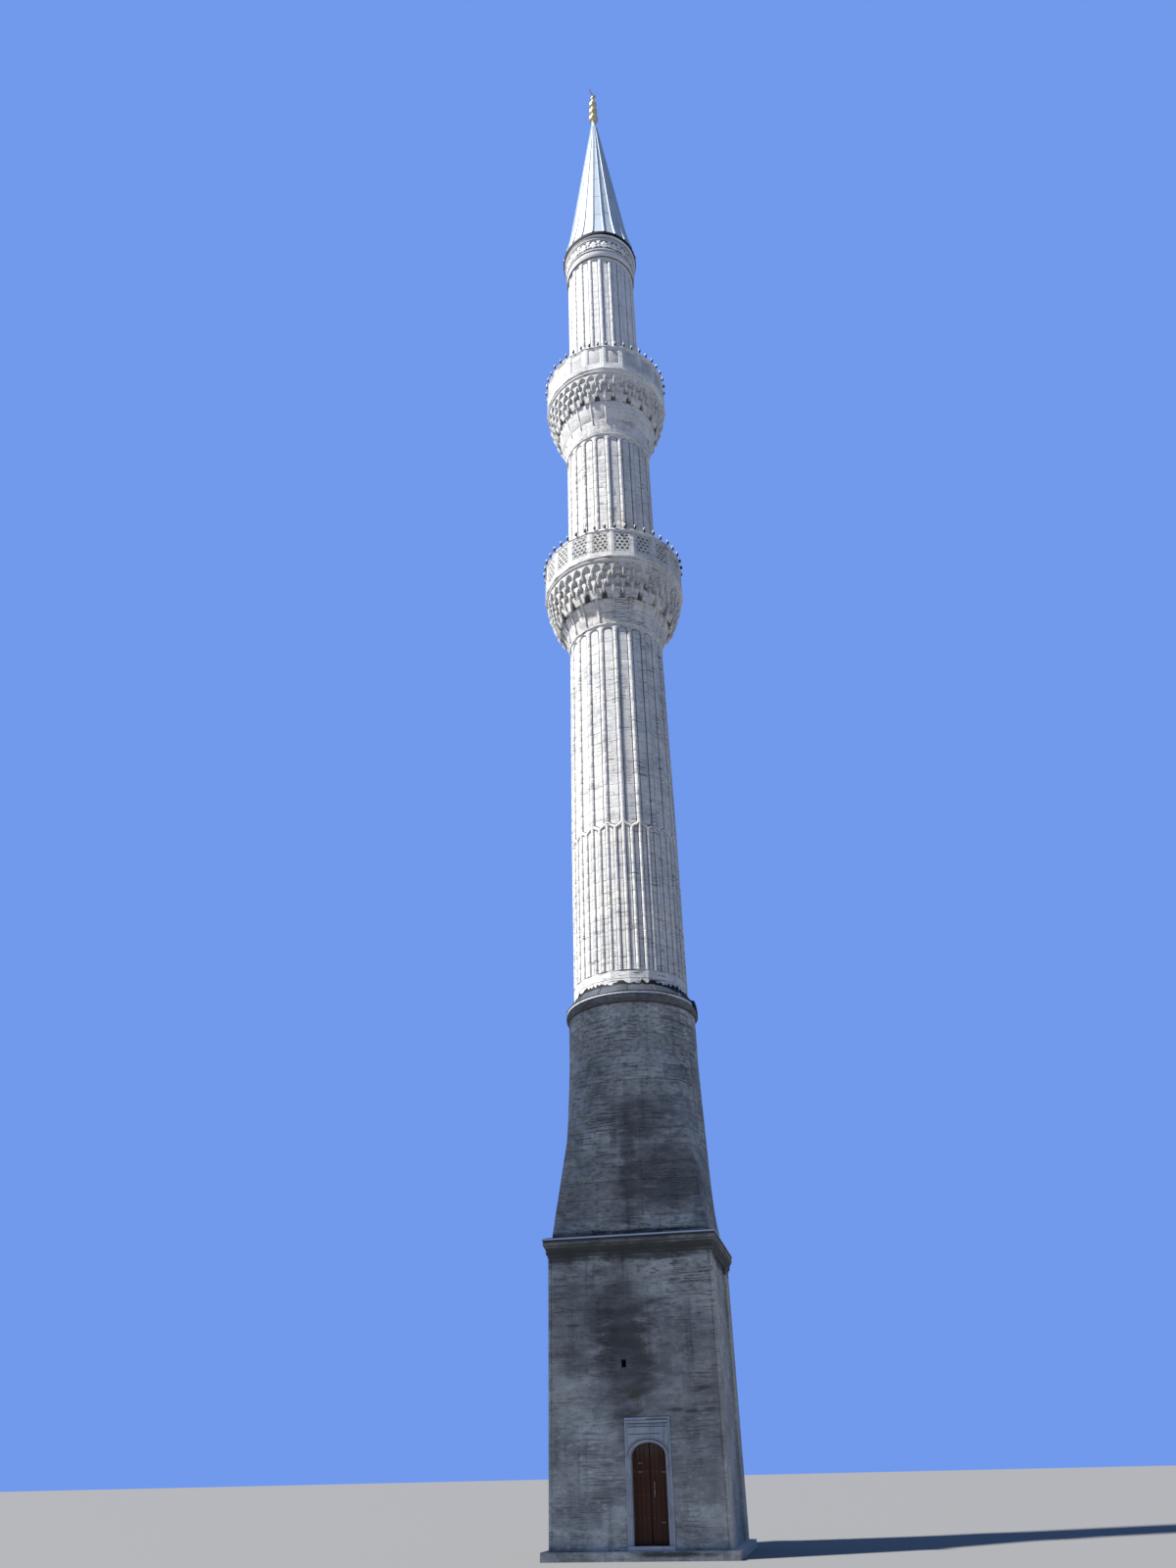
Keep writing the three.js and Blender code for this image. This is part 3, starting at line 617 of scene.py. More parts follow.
class Sketch:
    """The faces of one piece while it is being made, with a tone and a darkening at each point: dark joints
    and sooty grime, and painted shade in hollows and creases.
    """

    def __init__(self) -> None:
        """Starts empty."""
        self.points: list[Array] = []
        self.faces: list[tuple[int, ...]] = []
        self.tones: list[Array] = []
        self.soot_and_shade_marks: list[Array] = []
        self.count = 0

    def add(self, points: Array, faces: list[tuple[int, ...]], tone: float = 0.0,
            soot_and_shade_mark: Array | float = 0.0) -> None:
        """Adds points and the faces that join them.

        Args:
            points: The points.
            faces: Each face's corners, as places in points.
            tone: As in grid.
            soot_and_shade_mark: As in grid.
        """
        flat = points.reshape(-1, 3)
        self.points.append(flat)
        self.faces.extend(tuple(i + self.count for i in face) for face in faces)
        self.tones.append(np.full(len(flat), tone))
        self.soot_and_shade_marks.append(np.broadcast_to(np.asarray(soot_and_shade_mark, float).reshape(-1), (len(flat),)))
        self.count += len(flat)

    def grid(self, points: Array, closed: bool = False, tone: float = 0.0,
             soot_and_shade_mark: Array | float = 0.0) -> None:
        """Adds rows of points as a skin whose outside faces along columns crossed with rows.

        Args:
            points: Rows by columns by three.
            closed: True joins the last column to the first.
            tone: The stone's own tone, from -1 to 1.
            soot_and_shade_mark: How dark each point is drawn, from 0 to 1: dark joints and sooty grime, and
                painted shade in hollows and creases.
        """
        rows, columns = points.shape[:2]
        r, c = np.meshgrid(np.arange(rows - 1), np.arange(columns if closed else columns - 1), indexing="ij")
        n = (c + 1) % columns
        quads = np.stack([r * columns + c, r * columns + n, (r + 1) * columns + n, (r + 1) * columns + c], -1)
        self.add(points, [tuple(q) for q in quads.reshape(-1, 4).tolist()], tone, soot_and_shade_mark)

    def around(self, skins: Sequence[Array], soot_and_shade_marks: Sequence[Array]) -> None:
        """Joins skins that lie side by side round the tower, each without its last column."""
        self.grid(np.concatenate(skins, axis=1), closed=True, soot_and_shade_mark=np.concatenate(soot_and_shade_marks, axis=1))

    def lathe(self, profile: Profile, segments: int, phase: float = 0.0, stretch: float = 1.0,
              soot_and_shade_mark: Sequence[float] | float = 0.0, tone: float = 0.0) -> None:
        """Turns a profile of (radius, height), given from the bottom up the outside.

        Args:
            profile: The outline.
            segments: Flat sides round the axis.
            phase: The first corner's angle.
            stretch: Factor on the radii, such as the root of 2 for a square's corners.
            soot_and_shade_mark: How dark each point of the profile is drawn: dark joints and sooty grime, and
                painted shade in hollows and creases.
            tone: The stone's or metal's own tone.
        """
        angle = phase + np.arange(segments) * math.tau / segments
        rows = [polar(radius * stretch, angle, height) for radius, height in profile]
        hidden = np.broadcast_to(np.asarray(soot_and_shade_mark, float).reshape(-1, 1), (len(profile), segments))
        self.grid(np.stack(rows), closed=True, tone=tone, soot_and_shade_mark=hidden)

    def bar(self, start: Array, end: Array, width: float, lift: Array, tone: float = 0.0) -> None:
        """A straight strip with slanted sides on a face, its top standing off the face by lift.

        Args:
            start, end: Its middle line's ends, on the face.
            width: Width at the foot.
            lift: From the face to the top.
            tone: As in grid.
        """
        along = (end - start) / np.linalg.norm(end - start)
        across = np.cross(along, lift / np.linalg.norm(lift)) * width / 2
        foot = [start - across, end - across, end + across, start + across]
        top = [start - across * 0.6 + lift, end - across * 0.6 + lift,
               end + across * 0.6 + lift, start + across * 0.6 + lift]
        faces = [(3, 2, 1, 0), (4, 5, 6, 7)] + [(i, (i + 1) % 4, 4 + (i + 1) % 4, 4 + i) for i in range(4)]
        outward = np.dot(np.cross(top[1] - top[0], top[3] - top[0]), lift) > 0
        ordered = faces if outward else [tuple(reversed(f)) for f in faces]
        self.add(np.array(foot + top), ordered, tone)

    def box(self, low: Sequence[float], high: Sequence[float], chamfer: float, tone: float = 0.0) -> None:
        """A box whose upright edges are taken off by a chamfer.

        Args:
            low, high: Its lowest and highest corner.
            chamfer: The chamfer's width.
            tone: As in grid.
        """
        (x0, y0, z0), (x1, y1, z1) = low, high
        c = chamfer
        plan = [(x0 + c, y0), (x1 - c, y0), (x1, y0 + c), (x1, y1 - c),
                (x1 - c, y1), (x0 + c, y1), (x0, y1 - c), (x0, y0 + c)]
        n = len(plan)
        points = np.array([(x, y, z) for z in (z0, z1) for x, y in plan])
        faces = [(i, (i + 1) % n, n + (i + 1) % n, n + i) for i in range(n)]
        faces += [tuple(range(n - 1, -1, -1)), tuple(range(n, 2 * n))]
        self.add(points, faces, tone)

    def finish(self, name: str, finish: Finish, body: str = "masonry", replaced: Sequence[str] = (),
               smooth: float = 30.0) -> None:
        """Makes the piece, dresses it and lets it ride.

        Args:
            name: The piece's name.
            finish: Its finish.
            body: The body that carries it.
            replaced: CAD nodes that the piece stands for.
            smooth: Edges flatter than this many degrees are shaded smooth.
        """
        mesh = bpy.data.meshes.new(name)
        mesh.from_pydata(np.concatenate(self.points).tolist(), [], self.faces)
        # Writes the tone and the darkening mark, which stands for dark joints, sooty grime and painted shade
        # in hollows.
        for label, values in (("tone", self.tones), ("soot_and_shade_mark", self.soot_and_shade_marks)):
            layer = mesh.attributes.new(label, "FLOAT", "POINT")
            layer.data.foreach_set("value", np.concatenate(values).astype(np.float32))
        mesh.shade_smooth()
        mesh.set_sharp_from_angle(angle=math.radians(smooth))
        mesh.materials.append(material(finish))
        made = bpy.data.objects.new(name, mesh)
        bpy.context.scene.collection.objects.link(made)
        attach(made, body)
        if replaced:
            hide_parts(*replaced)
        triangles = sum(len(face) - 2 for face in self.faces)
        log.info("%s: %d triangles on %s", name, triangles, body)


@dataclass(frozen=True)
class Masonry:
    """Lays cut stones on a face, each with worn edges, its own tone and a slightly uneven skin."""

    chamfer: float = 0.005
    depth: float = 0.0035
    proud: float = 0.0
    uneven: float = 0.0007
    joint: float = 0.35
    seed: int = 7
    rng: np.random.Generator = field(init=False)

    def __post_init__(self) -> None:
        """Seeds the stones' small differences."""
        object.__setattr__(self, "rng", np.random.default_rng(self.seed))

    def stone(self, sketch: Sketch, face: Face, u: Array, v: Array, scale: float = 1.0,
              relief: Callable[[Array, Array], tuple[Array, Array]] | None = None) -> None:
        """Lays one stone.

        Args:
            sketch: Where it goes.
            face: Gives points for (u, v, lift), with u and v as the face has them.
            u: Positions across the stone, both edges included.
            v: Heights up the stone, both edges included.
            scale: Metres for each unit of u.
            relief: Gives lift, and the darkening of painted shade in its hollows, for u and v where the stone
                is carved.
        """
        across = edged(np.asarray(u, float), self.chamfer / scale)
        up = edged(np.asarray(v, float), self.chamfer)
        uu, vv = np.meshgrid(across, up)
        lift = self.proud + self.rng.uniform(-self.uneven, self.uneven, uu.shape)
        soot_and_shade_mark = np.zeros(uu.shape)
        if relief:
            carved, hidden = relief(uu, vv)
            lift = lift + carved
            soot_and_shade_mark = soot_and_shade_mark + hidden
        rim = np.zeros(uu.shape)
        rim[:, [0, -1]] = 0.55
        rim[[0, -1], :] = 1.0
        lift = np.where(rim > 0, lift - self.proud - self.depth, lift)
        soot_and_shade_mark = np.where(rim > 0, rim * self.joint, soot_and_shade_mark)
        sketch.grid(face(uu, vv, lift), tone=float(self.rng.uniform(-1, 1)), soot_and_shade_mark=soot_and_shade_mark)


def heights(bottom: float, top: float, course: float) -> Array:
    """Bed joints between two heights, as near to the course height as whole courses allow."""
    return np.linspace(bottom, top, max(1, round((top - bottom) / course)) + 1)


# Base

@dataclass(frozen=True)
class Hole:
    """A rectangle that the stones of a wall leave open."""

    left: float
    right: float
    bottom: float
    top: float


@dataclass
class Base:
    """The square base: its ashlar faces, corner beads, plinth and cornice."""

    half: float = 0.950
    bottom: float = 0.085
    top: float = 2.900
    quirk: float = 0.038
    plinth_half: float = 1.025
    field_back: float = 0.025
    groove_back: float = 0.045
    field_edge: float = 0.400
    groove_edge: float = 0.480
    pier_edge: float = 0.550
    course: float = 0.2044
    sill_line: float = 1.265
    surround: Hole = Hole(-0.1153, 0.3753, 0.085, 1.265)
    vent: Hole = Hole(-0.131, -0.073, 1.745, 1.827)

    def build(self) -> None:
        """Makes every piece of the base."""
        joints = Masonry(proud=0.002, joint=0.8, seed=11)
        corner = self.half - self.quirk
        field_at, groove_at = self.half - self.field_back, self.half - self.groove_back
        plain = ((self.half, -corner, corner),)
        moulded = (
            (self.half, -corner, -self.pier_edge),
            (field_at, -self.pier_edge, -self.groove_edge),
            (groove_at, -self.groove_edge, -self.field_edge),
            (field_at, -self.field_edge, self.field_edge),
            (groove_at, self.field_edge, self.groove_edge),
            (field_at, self.groove_edge, self.pier_edge),
            (self.half, self.pier_edge, corner),
        )
        walls = (("front", 0, plain, (self.surround, self.vent)), ("back", 2, plain, ()),
                 ("right", 1, moulded, ()), ("left", 3, moulded, ()))
        for name, turns, strips, holes in walls:
            wall = Sketch()
            for distance, low, high in strips:
                self._lay(wall, joints, turns, distance, low, high, holes)
            wall.finish(f"{name}_ashlar", Finish.BASE)
        self._plinth(joints)
        self._cornice()

    def _wall(self, distance: float, turns: int) -> Face:
        """A flat upright face of the base, turned by quarter turns from the front.

        Args:
            distance: From the axis to the face.
            turns: Quarter turns.

        Returns:
            The face.
        """
        def place(u: Array, v: Array, lift: Array) -> Array:
            """Points on the face."""
            flat = np.stack([u, -(distance + lift), v], axis=-1)
            return turned_about(flat, turns * math.pi / 2)
        return place

    def _lay(self, sketch: Sketch, joints: Masonry, turns: int, distance: float, left: float,
             right: float, holes: Sequence[Hole]) -> None:
        """Lays the courses of one face round its holes.

        Args:
            sketch: Where the stones go.
            joints: How they are cut.
            turns: Quarter turns from the front.
            distance: From the axis to the face.
            left, right: The face's edges.
            holes: What stays open.
        """
        face = self._wall(distance, turns)
        levels = np.concatenate([heights(self.bottom, self.sill_line, self.course),
                                 heights(self.sill_line, self.top, self.course)[1:]])
        for index, (low, high) in enumerate(zip(levels, levels[1:])):
            for x0, x1 in self._stones(joints, left, right, index):
                for a, b, c, d in self._round_holes(x0, x1, low, high, holes):
                    columns = np.linspace(a, b, max(2, round((b - a) / 0.09)) + 1)
                    rows = np.linspace(c, d, max(1, round((d - c) / 0.10)) + 1)
                    joints.stone(sketch, face, columns, rows)

    @staticmethod
    def _stones(joints: Masonry, left: float, right: float, index: int) -> list[tuple[float, float]]:
        """The stones of one course as pairs of edges, breaking joint with the course below.

        Args:
            joints: Shifts the joints a little.
            left, right: The course's ends.
            index: Its number.

        Returns:
            The pairs.
        """
        count = max(1, round((right - left) / 0.46))
        edges = np.linspace(left, right, count + 1)
        if count > 1:
            shift = (0.5 if index % 2 else 0.0) * (right - left) / count
            edges = np.concatenate([[left], edges[1:-1] + shift * 0.9 - shift * 0.45, [right]])
            edges[1:-1] += joints.rng.uniform(-0.06, 0.06, count - 1)
        return list(zip(edges, edges[1:]))

    @staticmethod
    def _round_holes(x0: float, x1: float, z0: float, z1: float,
                     holes: Sequence[Hole]) -> list[tuple[float, float, float, float]]:
        """What is left of a stone once the holes are taken out, as upright rectangles.

        Args:
            x0, x1, z0, z1: The stone's edges.
            holes: What stays open.

        Returns:
            The rectangles, in the order of the arguments.
        """
        parts = [(x0, x1, z0, z1)]
        for hole in holes:
            kept = []
            for a, b, c, d in parts:
                if hole.right <= a or hole.left >= b or hole.top <= c or hole.bottom >= d:
                    kept.append((a, b, c, d))
                    continue
                kept += [(a, hole.left, c, d), (hole.right, b, c, d)]
                middle = (max(a, hole.left), min(b, hole.right))
                kept += [(*middle, c, hole.bottom), (*middle, hole.top, d)]
            parts = [p for p in kept if p[1] - p[0] > 0.012 and p[3] - p[2] > 0.012]
        return parts

    def _plinth(self, joints: Masonry) -> None:
        """The long stones of the plinth, worn at their upper edge.

        Args:
            joints: How the stones are cut.
        """
        sketch = Sketch()
        for turns in range(4):
            face = self._wall(self.plinth_half, turns)
            edges = np.linspace(-self.plinth_half + 0.004, self.plinth_half - 0.004, 4 + turns % 2)
            for a, b in zip(edges, edges[1:]):
                joints.stone(sketch, face, np.linspace(a, b, 6), np.array([0.003, 0.04, self.bottom - 0.003]))
        sketch.finish("plinth_stones", Finish.BASE)

    def _cornice(self) -> None:
        """The moulded cornice, square in plan, and the thin lead on its upper edge."""
        top = self.top
        # Each point's third number darkens the moulding: partly sooty grime, partly painted shade in its
        # hollows and creases.
        outline = (
            (0.560, 0.0, 0.0), (0.956, 0.0, 0.9), (0.958, 0.006, 0.9), (0.958, 0.022, 0.5),
            (0.966, 0.027, 0.9), (0.972, 0.034, 0.8), (0.973, 0.060, 0.7), (0.976, 0.082, 0.7),
            (0.984, 0.098, 0.8), (0.992, 0.104, 0.4), (0.992, 0.116, 0.2), (0.998, 0.120, 0.9),
            (1.003, 0.132, 0.3), (1.005, 0.148, 0.1), (1.003, 0.164, 0.5), (0.999, 0.170, 1.0),
            (1.008, 0.174, 1.0), (1.008, 0.200, 0.3), (1.004, 0.204, 0.3), (0.962, 0.2195, 0.9),
            (0.560, 0.2195, 0.5), (0.560, 0.0, 0.0),
        )
        sketch = Sketch()
        soot_and_shade_mark = [hidden for *_, hidden in outline]
        sketch.lathe([(r, top + rise) for r, rise, _ in outline], *SQUARE, soot_and_shade_mark)
        sketch.finish("moulded_cornice", Finish.BASE, replaced=("base_cornice",))
        sheet = Sketch()
        lead = ((1.009, 0.189), (1.0115, 0.189), (1.012, 0.202), (1.006, 0.2065), (0.930, 0.2235),
                (0.930, 0.2205), (1.004, 0.205), (1.009, 0.189))
        sheet.lathe([(r, top + rise) for r, rise in lead], *SQUARE)
        sheet.finish("cornice_lead", Finish.LEAD)


# Doorway

@dataclass
class Doorway:
    """The marble surround and the two boarded leaves."""

    middle: float = 0.130
    half: float = 0.185
    springing: float = 0.915
    rise: float = 0.120
    jamb: float = 0.245
    front: float = -0.965
    floor: float = 0.125
    top: float = 1.265
    leaf_face: float = -0.870
    meeting_gap: float = 0.0035
    board_proud: float = 0.0035
    board_wear: float = 0.0028
    plate_proud: float = 0.0012

    def build(self) -> None:
        """Makes the carved marble, the boards and the ironwork."""
        self._surround()
        for side, hand in ((-1, "left"), (1, "right")):
            self._boards(side, hand)
            self._ironwork(side, hand)

    def _arch(self, half: float, rise: float, count: int = 25) -> Array:
        """Points over an elliptical arch from its left springing to its right, as X and Z."""
        angle = np.linspace(math.pi, 0, count)
        return np.stack([self.middle + half * np.cos(angle), self.springing + rise * np.sin(angle)], -1)

    def _strip(self, sketch: Sketch, path: Array, width: float, proud: float, dirt_and_shade: float = 0.0) -> None:
        """A rounded moulding that follows a path on the marble's face, as X and Z.

        Args:
            sketch: Where it goes.
            path: Its middle line.
            width: Its width.
            proud: How far it stands out.
            dirt_and_shade: The least shelter on it; at 1 the whole strip is drawn as a dark line of painted
                shadow.
        """
        ahead = np.gradient(path, axis=0)
        ahead /= np.linalg.norm(ahead, axis=1, keepdims=True)
        normal = np.stack([-ahead[:, 1], ahead[:, 0]], -1)
        rows = []
        for share in np.linspace(-1, 1, 7):
            lift = proud * math.sqrt(max(0.0, 1 - share * share)) - 0.0005
            offset = path + normal * (share * width / 2)
            rows.append(np.stack([offset[:, 0], np.full(len(path), self.front - lift), offset[:, 1]], -1))
        # Dark edges where the moulding meets the face: painted shade in the crease.
        soot_and_shade_mark = np.maximum([1.0, 0.35, 0.0, 0.0, 0.0, 0.35, 1.0], dirt_and_shade)
        sketch.grid(np.stack(rows), soot_and_shade_mark=np.repeat(soot_and_shade_mark, len(path)))

    def _surround(self) -> None:
        """The archivolt, the frame above it and the moulded jambs, cut on the marble's face."""
        sketch = Sketch()
        arch = self._arch(self.half + 0.018, self.rise + 0.018)
        foot = np.array([[arch[0, 0], self.floor + 0.02]])
        other = np.array([[arch[-1, 0], self.floor + 0.02]])
        self._strip(sketch, np.concatenate([foot, arch, other]), 0.020, 0.008)
        self._strip(sketch, self._arch(self.half + 0.047, self.rise + 0.045), 0.012, 0.006)
        left, right = self.middle - self.jamb + 0.022, self.middle + self.jamb - 0.022
        low, high = self.springing + 0.002, self.top - 0.075
        frame = [(left, low), (left, high), (right, high), (right, low)]
        for start, end in zip(frame, frame[1:]):
            self._strip(sketch, np.linspace(start, end, 3), 0.014, 0.007)
        shelf = np.linspace((left - 0.012, high + 0.038), (right + 0.012, high + 0.038), 3)
        self._strip(sketch, shelf, 0.026, 0.012)
        # Thin strips drawn fully dark: painted shadow lines along the frame and round the arch.
        for z, start, end in ((high + 0.018, left, right), (high - 0.012, left + 0.01, right - 0.01),
                              (high - 0.078, left + 0.02, right - 0.09), (high + 0.058, 0.12, right)):
            self._strip(sketch, np.linspace((start, z), (end, z), 3), 0.011, 0.0012, dirt_and_shade=1.0)
        self._strip(sketch, self._arch(self.half + 0.033, self.rise + 0.032), 0.009, 0.0012, dirt_and_shade=1.0)
        for x in (left - 0.004, right + 0.004):
            self._strip(sketch, np.linspace((x, self.floor + 0.01), (x, low - 0.02), 3), 0.008, 0.004)
        sketch.finish("carved_surround", Finish.MARBLE)

    def _crown(self, x: float) -> float:
        """The arch's height over the floor at a place across the door."""
        share = min(1.0, abs(x - self.middle) / self.half)
        return self.springing + self.rise * math.sqrt(1 - share * share)

    def _boards(self, side: int, hand: str) -> None:
        """Upright boards with worn edges and a cover strip at the meeting edge.

        Args:
            side: -1 for the left leaf, 1 for the right.
            hand: The side's name.
        """
        sketch = Sketch()
        face_y = self.leaf_face - self.board_proud
        edges = np.linspace(self.meeting_gap + 0.001, self.half + 0.016, 5)
        for index, (a, b) in enumerate(zip(edges, edges[1:])):
            x0, x1 = sorted((self.middle + side * a, self.middle + side * b))
            self._board(sketch, x0 + 0.0008, x1 - 0.0008, face_y, (index % 2) * 0.8 - 0.2)
        x0, x1 = sorted(self.middle + side * end for end in (self.meeting_gap + 0.006, self.half - 0.012))
        front = face_y - self.plate_proud
        for bottom, tall in ((self.floor + 0.035, 0.075), (0.735, 0.055)):
            sketch.box((x0, front, bottom), (x1, face_y + 0.001, bottom + tall), 0.0004, tone=0.5)
        sketch.finish(f"{hand}_boards", Finish.BOARDS, body=f"{hand}_leaf")

    def _board(self, sketch: Sketch, left: float, right: float, face: float, tone: float) -> None:
        """One board whose top follows the arch behind the marble.

        Args:
            sketch: Where it goes.
            left, right: Its edges.
            face: Its face's Y.
            tone: Its own tone.
        """
        across = edged(np.array([left, right]), 0.003)
        crown = np.array([self._crown(x) + 0.012 for x in across])
        rows, soot_and_shade_marks = [], []
        for share in (0, 0.003, 0.2, 0.4, 0.6, 0.8, 0.997, 1):
            z = self.floor + 0.006 + share * (crown - self.floor - 0.006)
            # Edges and ends of each board are drawn near black: painted shade in the gaps between boards.
            rim = np.ones(4) if share in (0, 1) else np.array([1.0, 0.0, 0.0, 1.0])
            rows.append(np.stack([across, face + self.board_wear * rim, z], -1))
            soot_and_shade_marks.append(rim)
        sketch.grid(np.stack(rows), tone=tone, soot_and_shade_mark=np.stack(soot_and_shade_marks))

    def _ironwork(self, side: int, hand: str) -> None:
        """Small worn plates and nail heads.

        Args:
            side: -1 for the left leaf, 1 for the right.
            hand: The side's name.
        """
        sketch = Sketch()
        plates = {-1: ((0.030, 0.848), (0.026, 0.769)), 1: ((0.275, 0.764), (0.250, 0.322))}[side]
        face = self.leaf_face - self.board_proud - self.plate_proud
        front = face - self.plate_proud
        for x, z in plates:
            sketch.box((x - 0.021, front, z - 0.005), (x + 0.021, face + 0.001, z + 0.005), 0.0004)
        ring = polar(0.0042, np.arange(8) * math.tau / 8, 0.0)
        for z in (0.180, 0.772, 0.560, 0.360):
            for share in np.linspace(0.15, 0.9, 4):
                x = self.middle + side * share * self.half
                rows = [np.stack([x + ring[:, 0] * k, np.full(8, face - d), z + ring[:, 1] * k], -1)
                        for k, d in ((1.0, -0.001), (0.9, 0.0008), (0.5, 0.0016), (0.05, 0.0019))]
                sketch.grid(np.stack(rows)[:, ::-1], closed=True)
        sketch.finish(f"{hand}_ironwork", Finish.IRON, body=f"{hand}_leaf")


# Square to round

@dataclass
class Transition:
    """The battered faces that turn the square into the round shaft, and the ring on top."""

    half: float = 0.915
    radius: float = 0.857
    bottom: float = 3.120
    shoulder: float = 5.350
    top: float = 5.960
    void: float = 0.560
    across: int = 16
    lead_folds: int = 14

    def build(self) -> None:
        """Makes the faces and the ring."""
        self._faces()
        self._ring()

    def _radius(self, angle: Array, z: Array) -> Array:
        """The outline's radius, square at the bottom and round from the shoulder up.

        Args:
            angle: Angles round the axis.
            z: Heights.

        Returns:
            The radii.
        """
        square = self.half / np.maximum(np.abs(np.sin(angle)), np.abs(np.cos(angle)))
        share = np.clip((z - self.bottom) / (self.shoulder - self.bottom), 0, 1)
        return square + (self.radius - square) * share

    def _faces(self) -> None:
        """Stones in level courses whose joints fall on or between the corners."""
        joints = Masonry(joint=0.7, seed=23)
        sketch = Sketch()

        def place(u: Array, v: Array, lift: Array) -> Array:
            """Points on the faces."""
            return polar(self._radius(u, v) + lift, u, v)

        levels = heights(self.bottom, self.top, 0.203)
        pitch = math.tau / self.across
        for index, (low, high) in enumerate(zip(levels, levels[1:])):
            start = pitch / 2 * (index % 2)
            for k in range(self.across):
                left = start + k * pitch
                columns = np.linspace(left, left + pitch, 9)
                rows = np.linspace(low, high, 3)
                joints.stone(sketch, place, columns, rows, scale=self.radius)
        sketch.lathe([(self.void, self.top), (self.void, self.bottom)], ROUND)
        square = self._radius(np.arange(ROUND) * math.tau / ROUND, np.full(ROUND, self.bottom))
        sketch.lathe([(self.void, self.bottom), (square - 0.004, self.bottom)], ROUND)
        sketch.finish("transition_stones", Finish.BASE, replaced=("transition",))

    def _ring(self) -> None:
        """The half-round ring with its pale fillet, and the folded and torn lead on it."""
        top = self.top
        swell = roll(0.864, top + 0.065, 0.028, 0.053, 11)
        profile = [(self.void, top), (0.858, top), (0.862, top + 0.010), *swell, (0.866, top + 0.122),
                   (0.806, top + 0.240), (self.void, top + 0.240), (self.void, top)]
        # Painted shade: darkest under the ring and in the crease under the fillet, the roll lightening
        # upwards.
        soot_and_shade_mark = [0.9, 1.0, 0.9, *np.linspace(0.75, 0.35, 11), 1.0, 0.5, 0.5, 0.9]
        sketch = Sketch()
        sketch.lathe(profile, FINE, soot_and_shade_mark=soot_and_shade_mark)
        sketch.finish("ring_moulding", Finish.BASE, replaced=("shaft_ring",), smooth=50)
        fillet = Sketch()
        edge = ((0.850, 0.121), (0.8775, 0.1215), (0.8795, 0.125), (0.8795, 0.148), (0.850, 0.165),
                (0.850, 0.121))
        fillet.lathe([(r, top + rise) for r, rise in edge], FINE)
        fillet.finish("ring_fillet", Finish.SHAFT, smooth=50)
        self._lead()

    def _lead(self) -> None:
        """The folded lead over the ring, torn and bent up on the right."""
        top = self.top
        folds = Sketch()
        rng = np.random.default_rng(5)
        fine = 2 * FINE
        angle = np.arange(fine) * math.tau / fine
        wave = rng.uniform(-0.003, 0.003, fine)
        rows = [polar(r + wave * k, angle, z + wave * drop) for r, z, k, drop in (
            (0.872, top + 0.152, 1, 0), (0.884, top + 0.147, 1, 2), (0.8865, top + 0.154, 1, 1),
            (0.884, top + 0.162, 1, 0), (0.845, top + 0.206, 0.6, 0), (0.812, top + 0.246, 0.3, 0),
            (0.797, top + 0.266, 0.2, 3), (0.790, top + 0.266, 0, 3), (0.787, top + 0.246, 0, 0))]
        folds.grid(np.stack(rows), closed=True)
        # A near-black strip where the lead stands off the stone: painted shade in the open gap.
        gap = [polar(r, angle, top + 0.262 + rise + wave * k)
               for r, rise, k in ((0.797, 0, 0), (0.790, 0.046, 13))]
        folds.grid(np.stack(gap), closed=True, tone=1.0)
        for k in range(self.lead_folds):
            a = k * math.tau / self.lead_folds + 0.1
            ends = [polar(0.887, a, top + 0.156), polar(0.800, a, top + 0.266)]
            folds.bar(ends[0], ends[1], 0.014, polar(0.006, a, 0.0) + np.array([0, 0, 0.004]))
        span = np.linspace(0, 1, 27)
        torn = np.radians(76 + 48 * span)
        rise = np.sin(span * math.pi) ** 0.5
        hem = top + 0.150 - 0.125 * rise + rng.uniform(0, 0.022, 27)
        lip = top + 0.158 + 0.085 * rise + rng.uniform(-0.010, 0.010, 27)
        flap = [polar(r, torn, hem + (lip - hem) * share) for r, share in (
            (0.885, 0.0), (0.898, 0.0), (0.899, 0.35), (0.891, 0.70), (0.876, 1.0), (0.872, 1.0),
            (0.884, 0.6), (0.885, 0.0))]
        # The torn flap is drawn near black.
        folds.grid(np.stack(flap), tone=1.0)
        folds.finish("lead_flashing", Finish.DARK_LEAD, replaced=("ring_flashing",), smooth=60)


# Shafts

@dataclass(frozen=True)
class Rib:
    """A rounded rib between two narrow quirks."""

    proud: float = 0.020
    half: float = 0.038
    quirk: float = 0.0154
    sink: float = 0.012

    @property
    def crest(self) -> float:
        """Half the rib's whole width, its quirk included."""
        return self.half + self.quirk

    def relief(self, distance: Array) -> tuple[Array, Array]:
        """Lift, and the darkening of painted shade in the quirks, at a distance from the rib's middle line.

        Args:
            distance: Metres across the rib.

        Returns:
            Lift and shelter.
        """
        share = np.clip(np.abs(distance) / self.half, 0, 1)
        crown = self.proud * np.sqrt(np.maximum(0, 1 - share ** 2))
        into = np.clip((np.abs(distance) - self.half) / self.quirk, 0, 1)
        dip = np.sin(into * math.pi)
        # Painted shade: darkens the narrow quirks beside the rib, and less of the rib's own edge.
        soot_and_shade_mark = np.where(np.abs(distance) > self.half * 0.97, np.maximum(dip, (1 - into) * 0.6), 0.0) * 0.8
        return crown - self.sink * dip, np.where(into < 1, soot_and_shade_mark, 0.0)

    def columns(self) -> Array:
        """Distances across half a rib that draw its shape."""
        crown = self.half * np.array([0.0, 0.38, 0.70, 0.90, 1.0])
        return np.concatenate([crown, self.half + self.quirk * np.array([0.5, 1.0])])


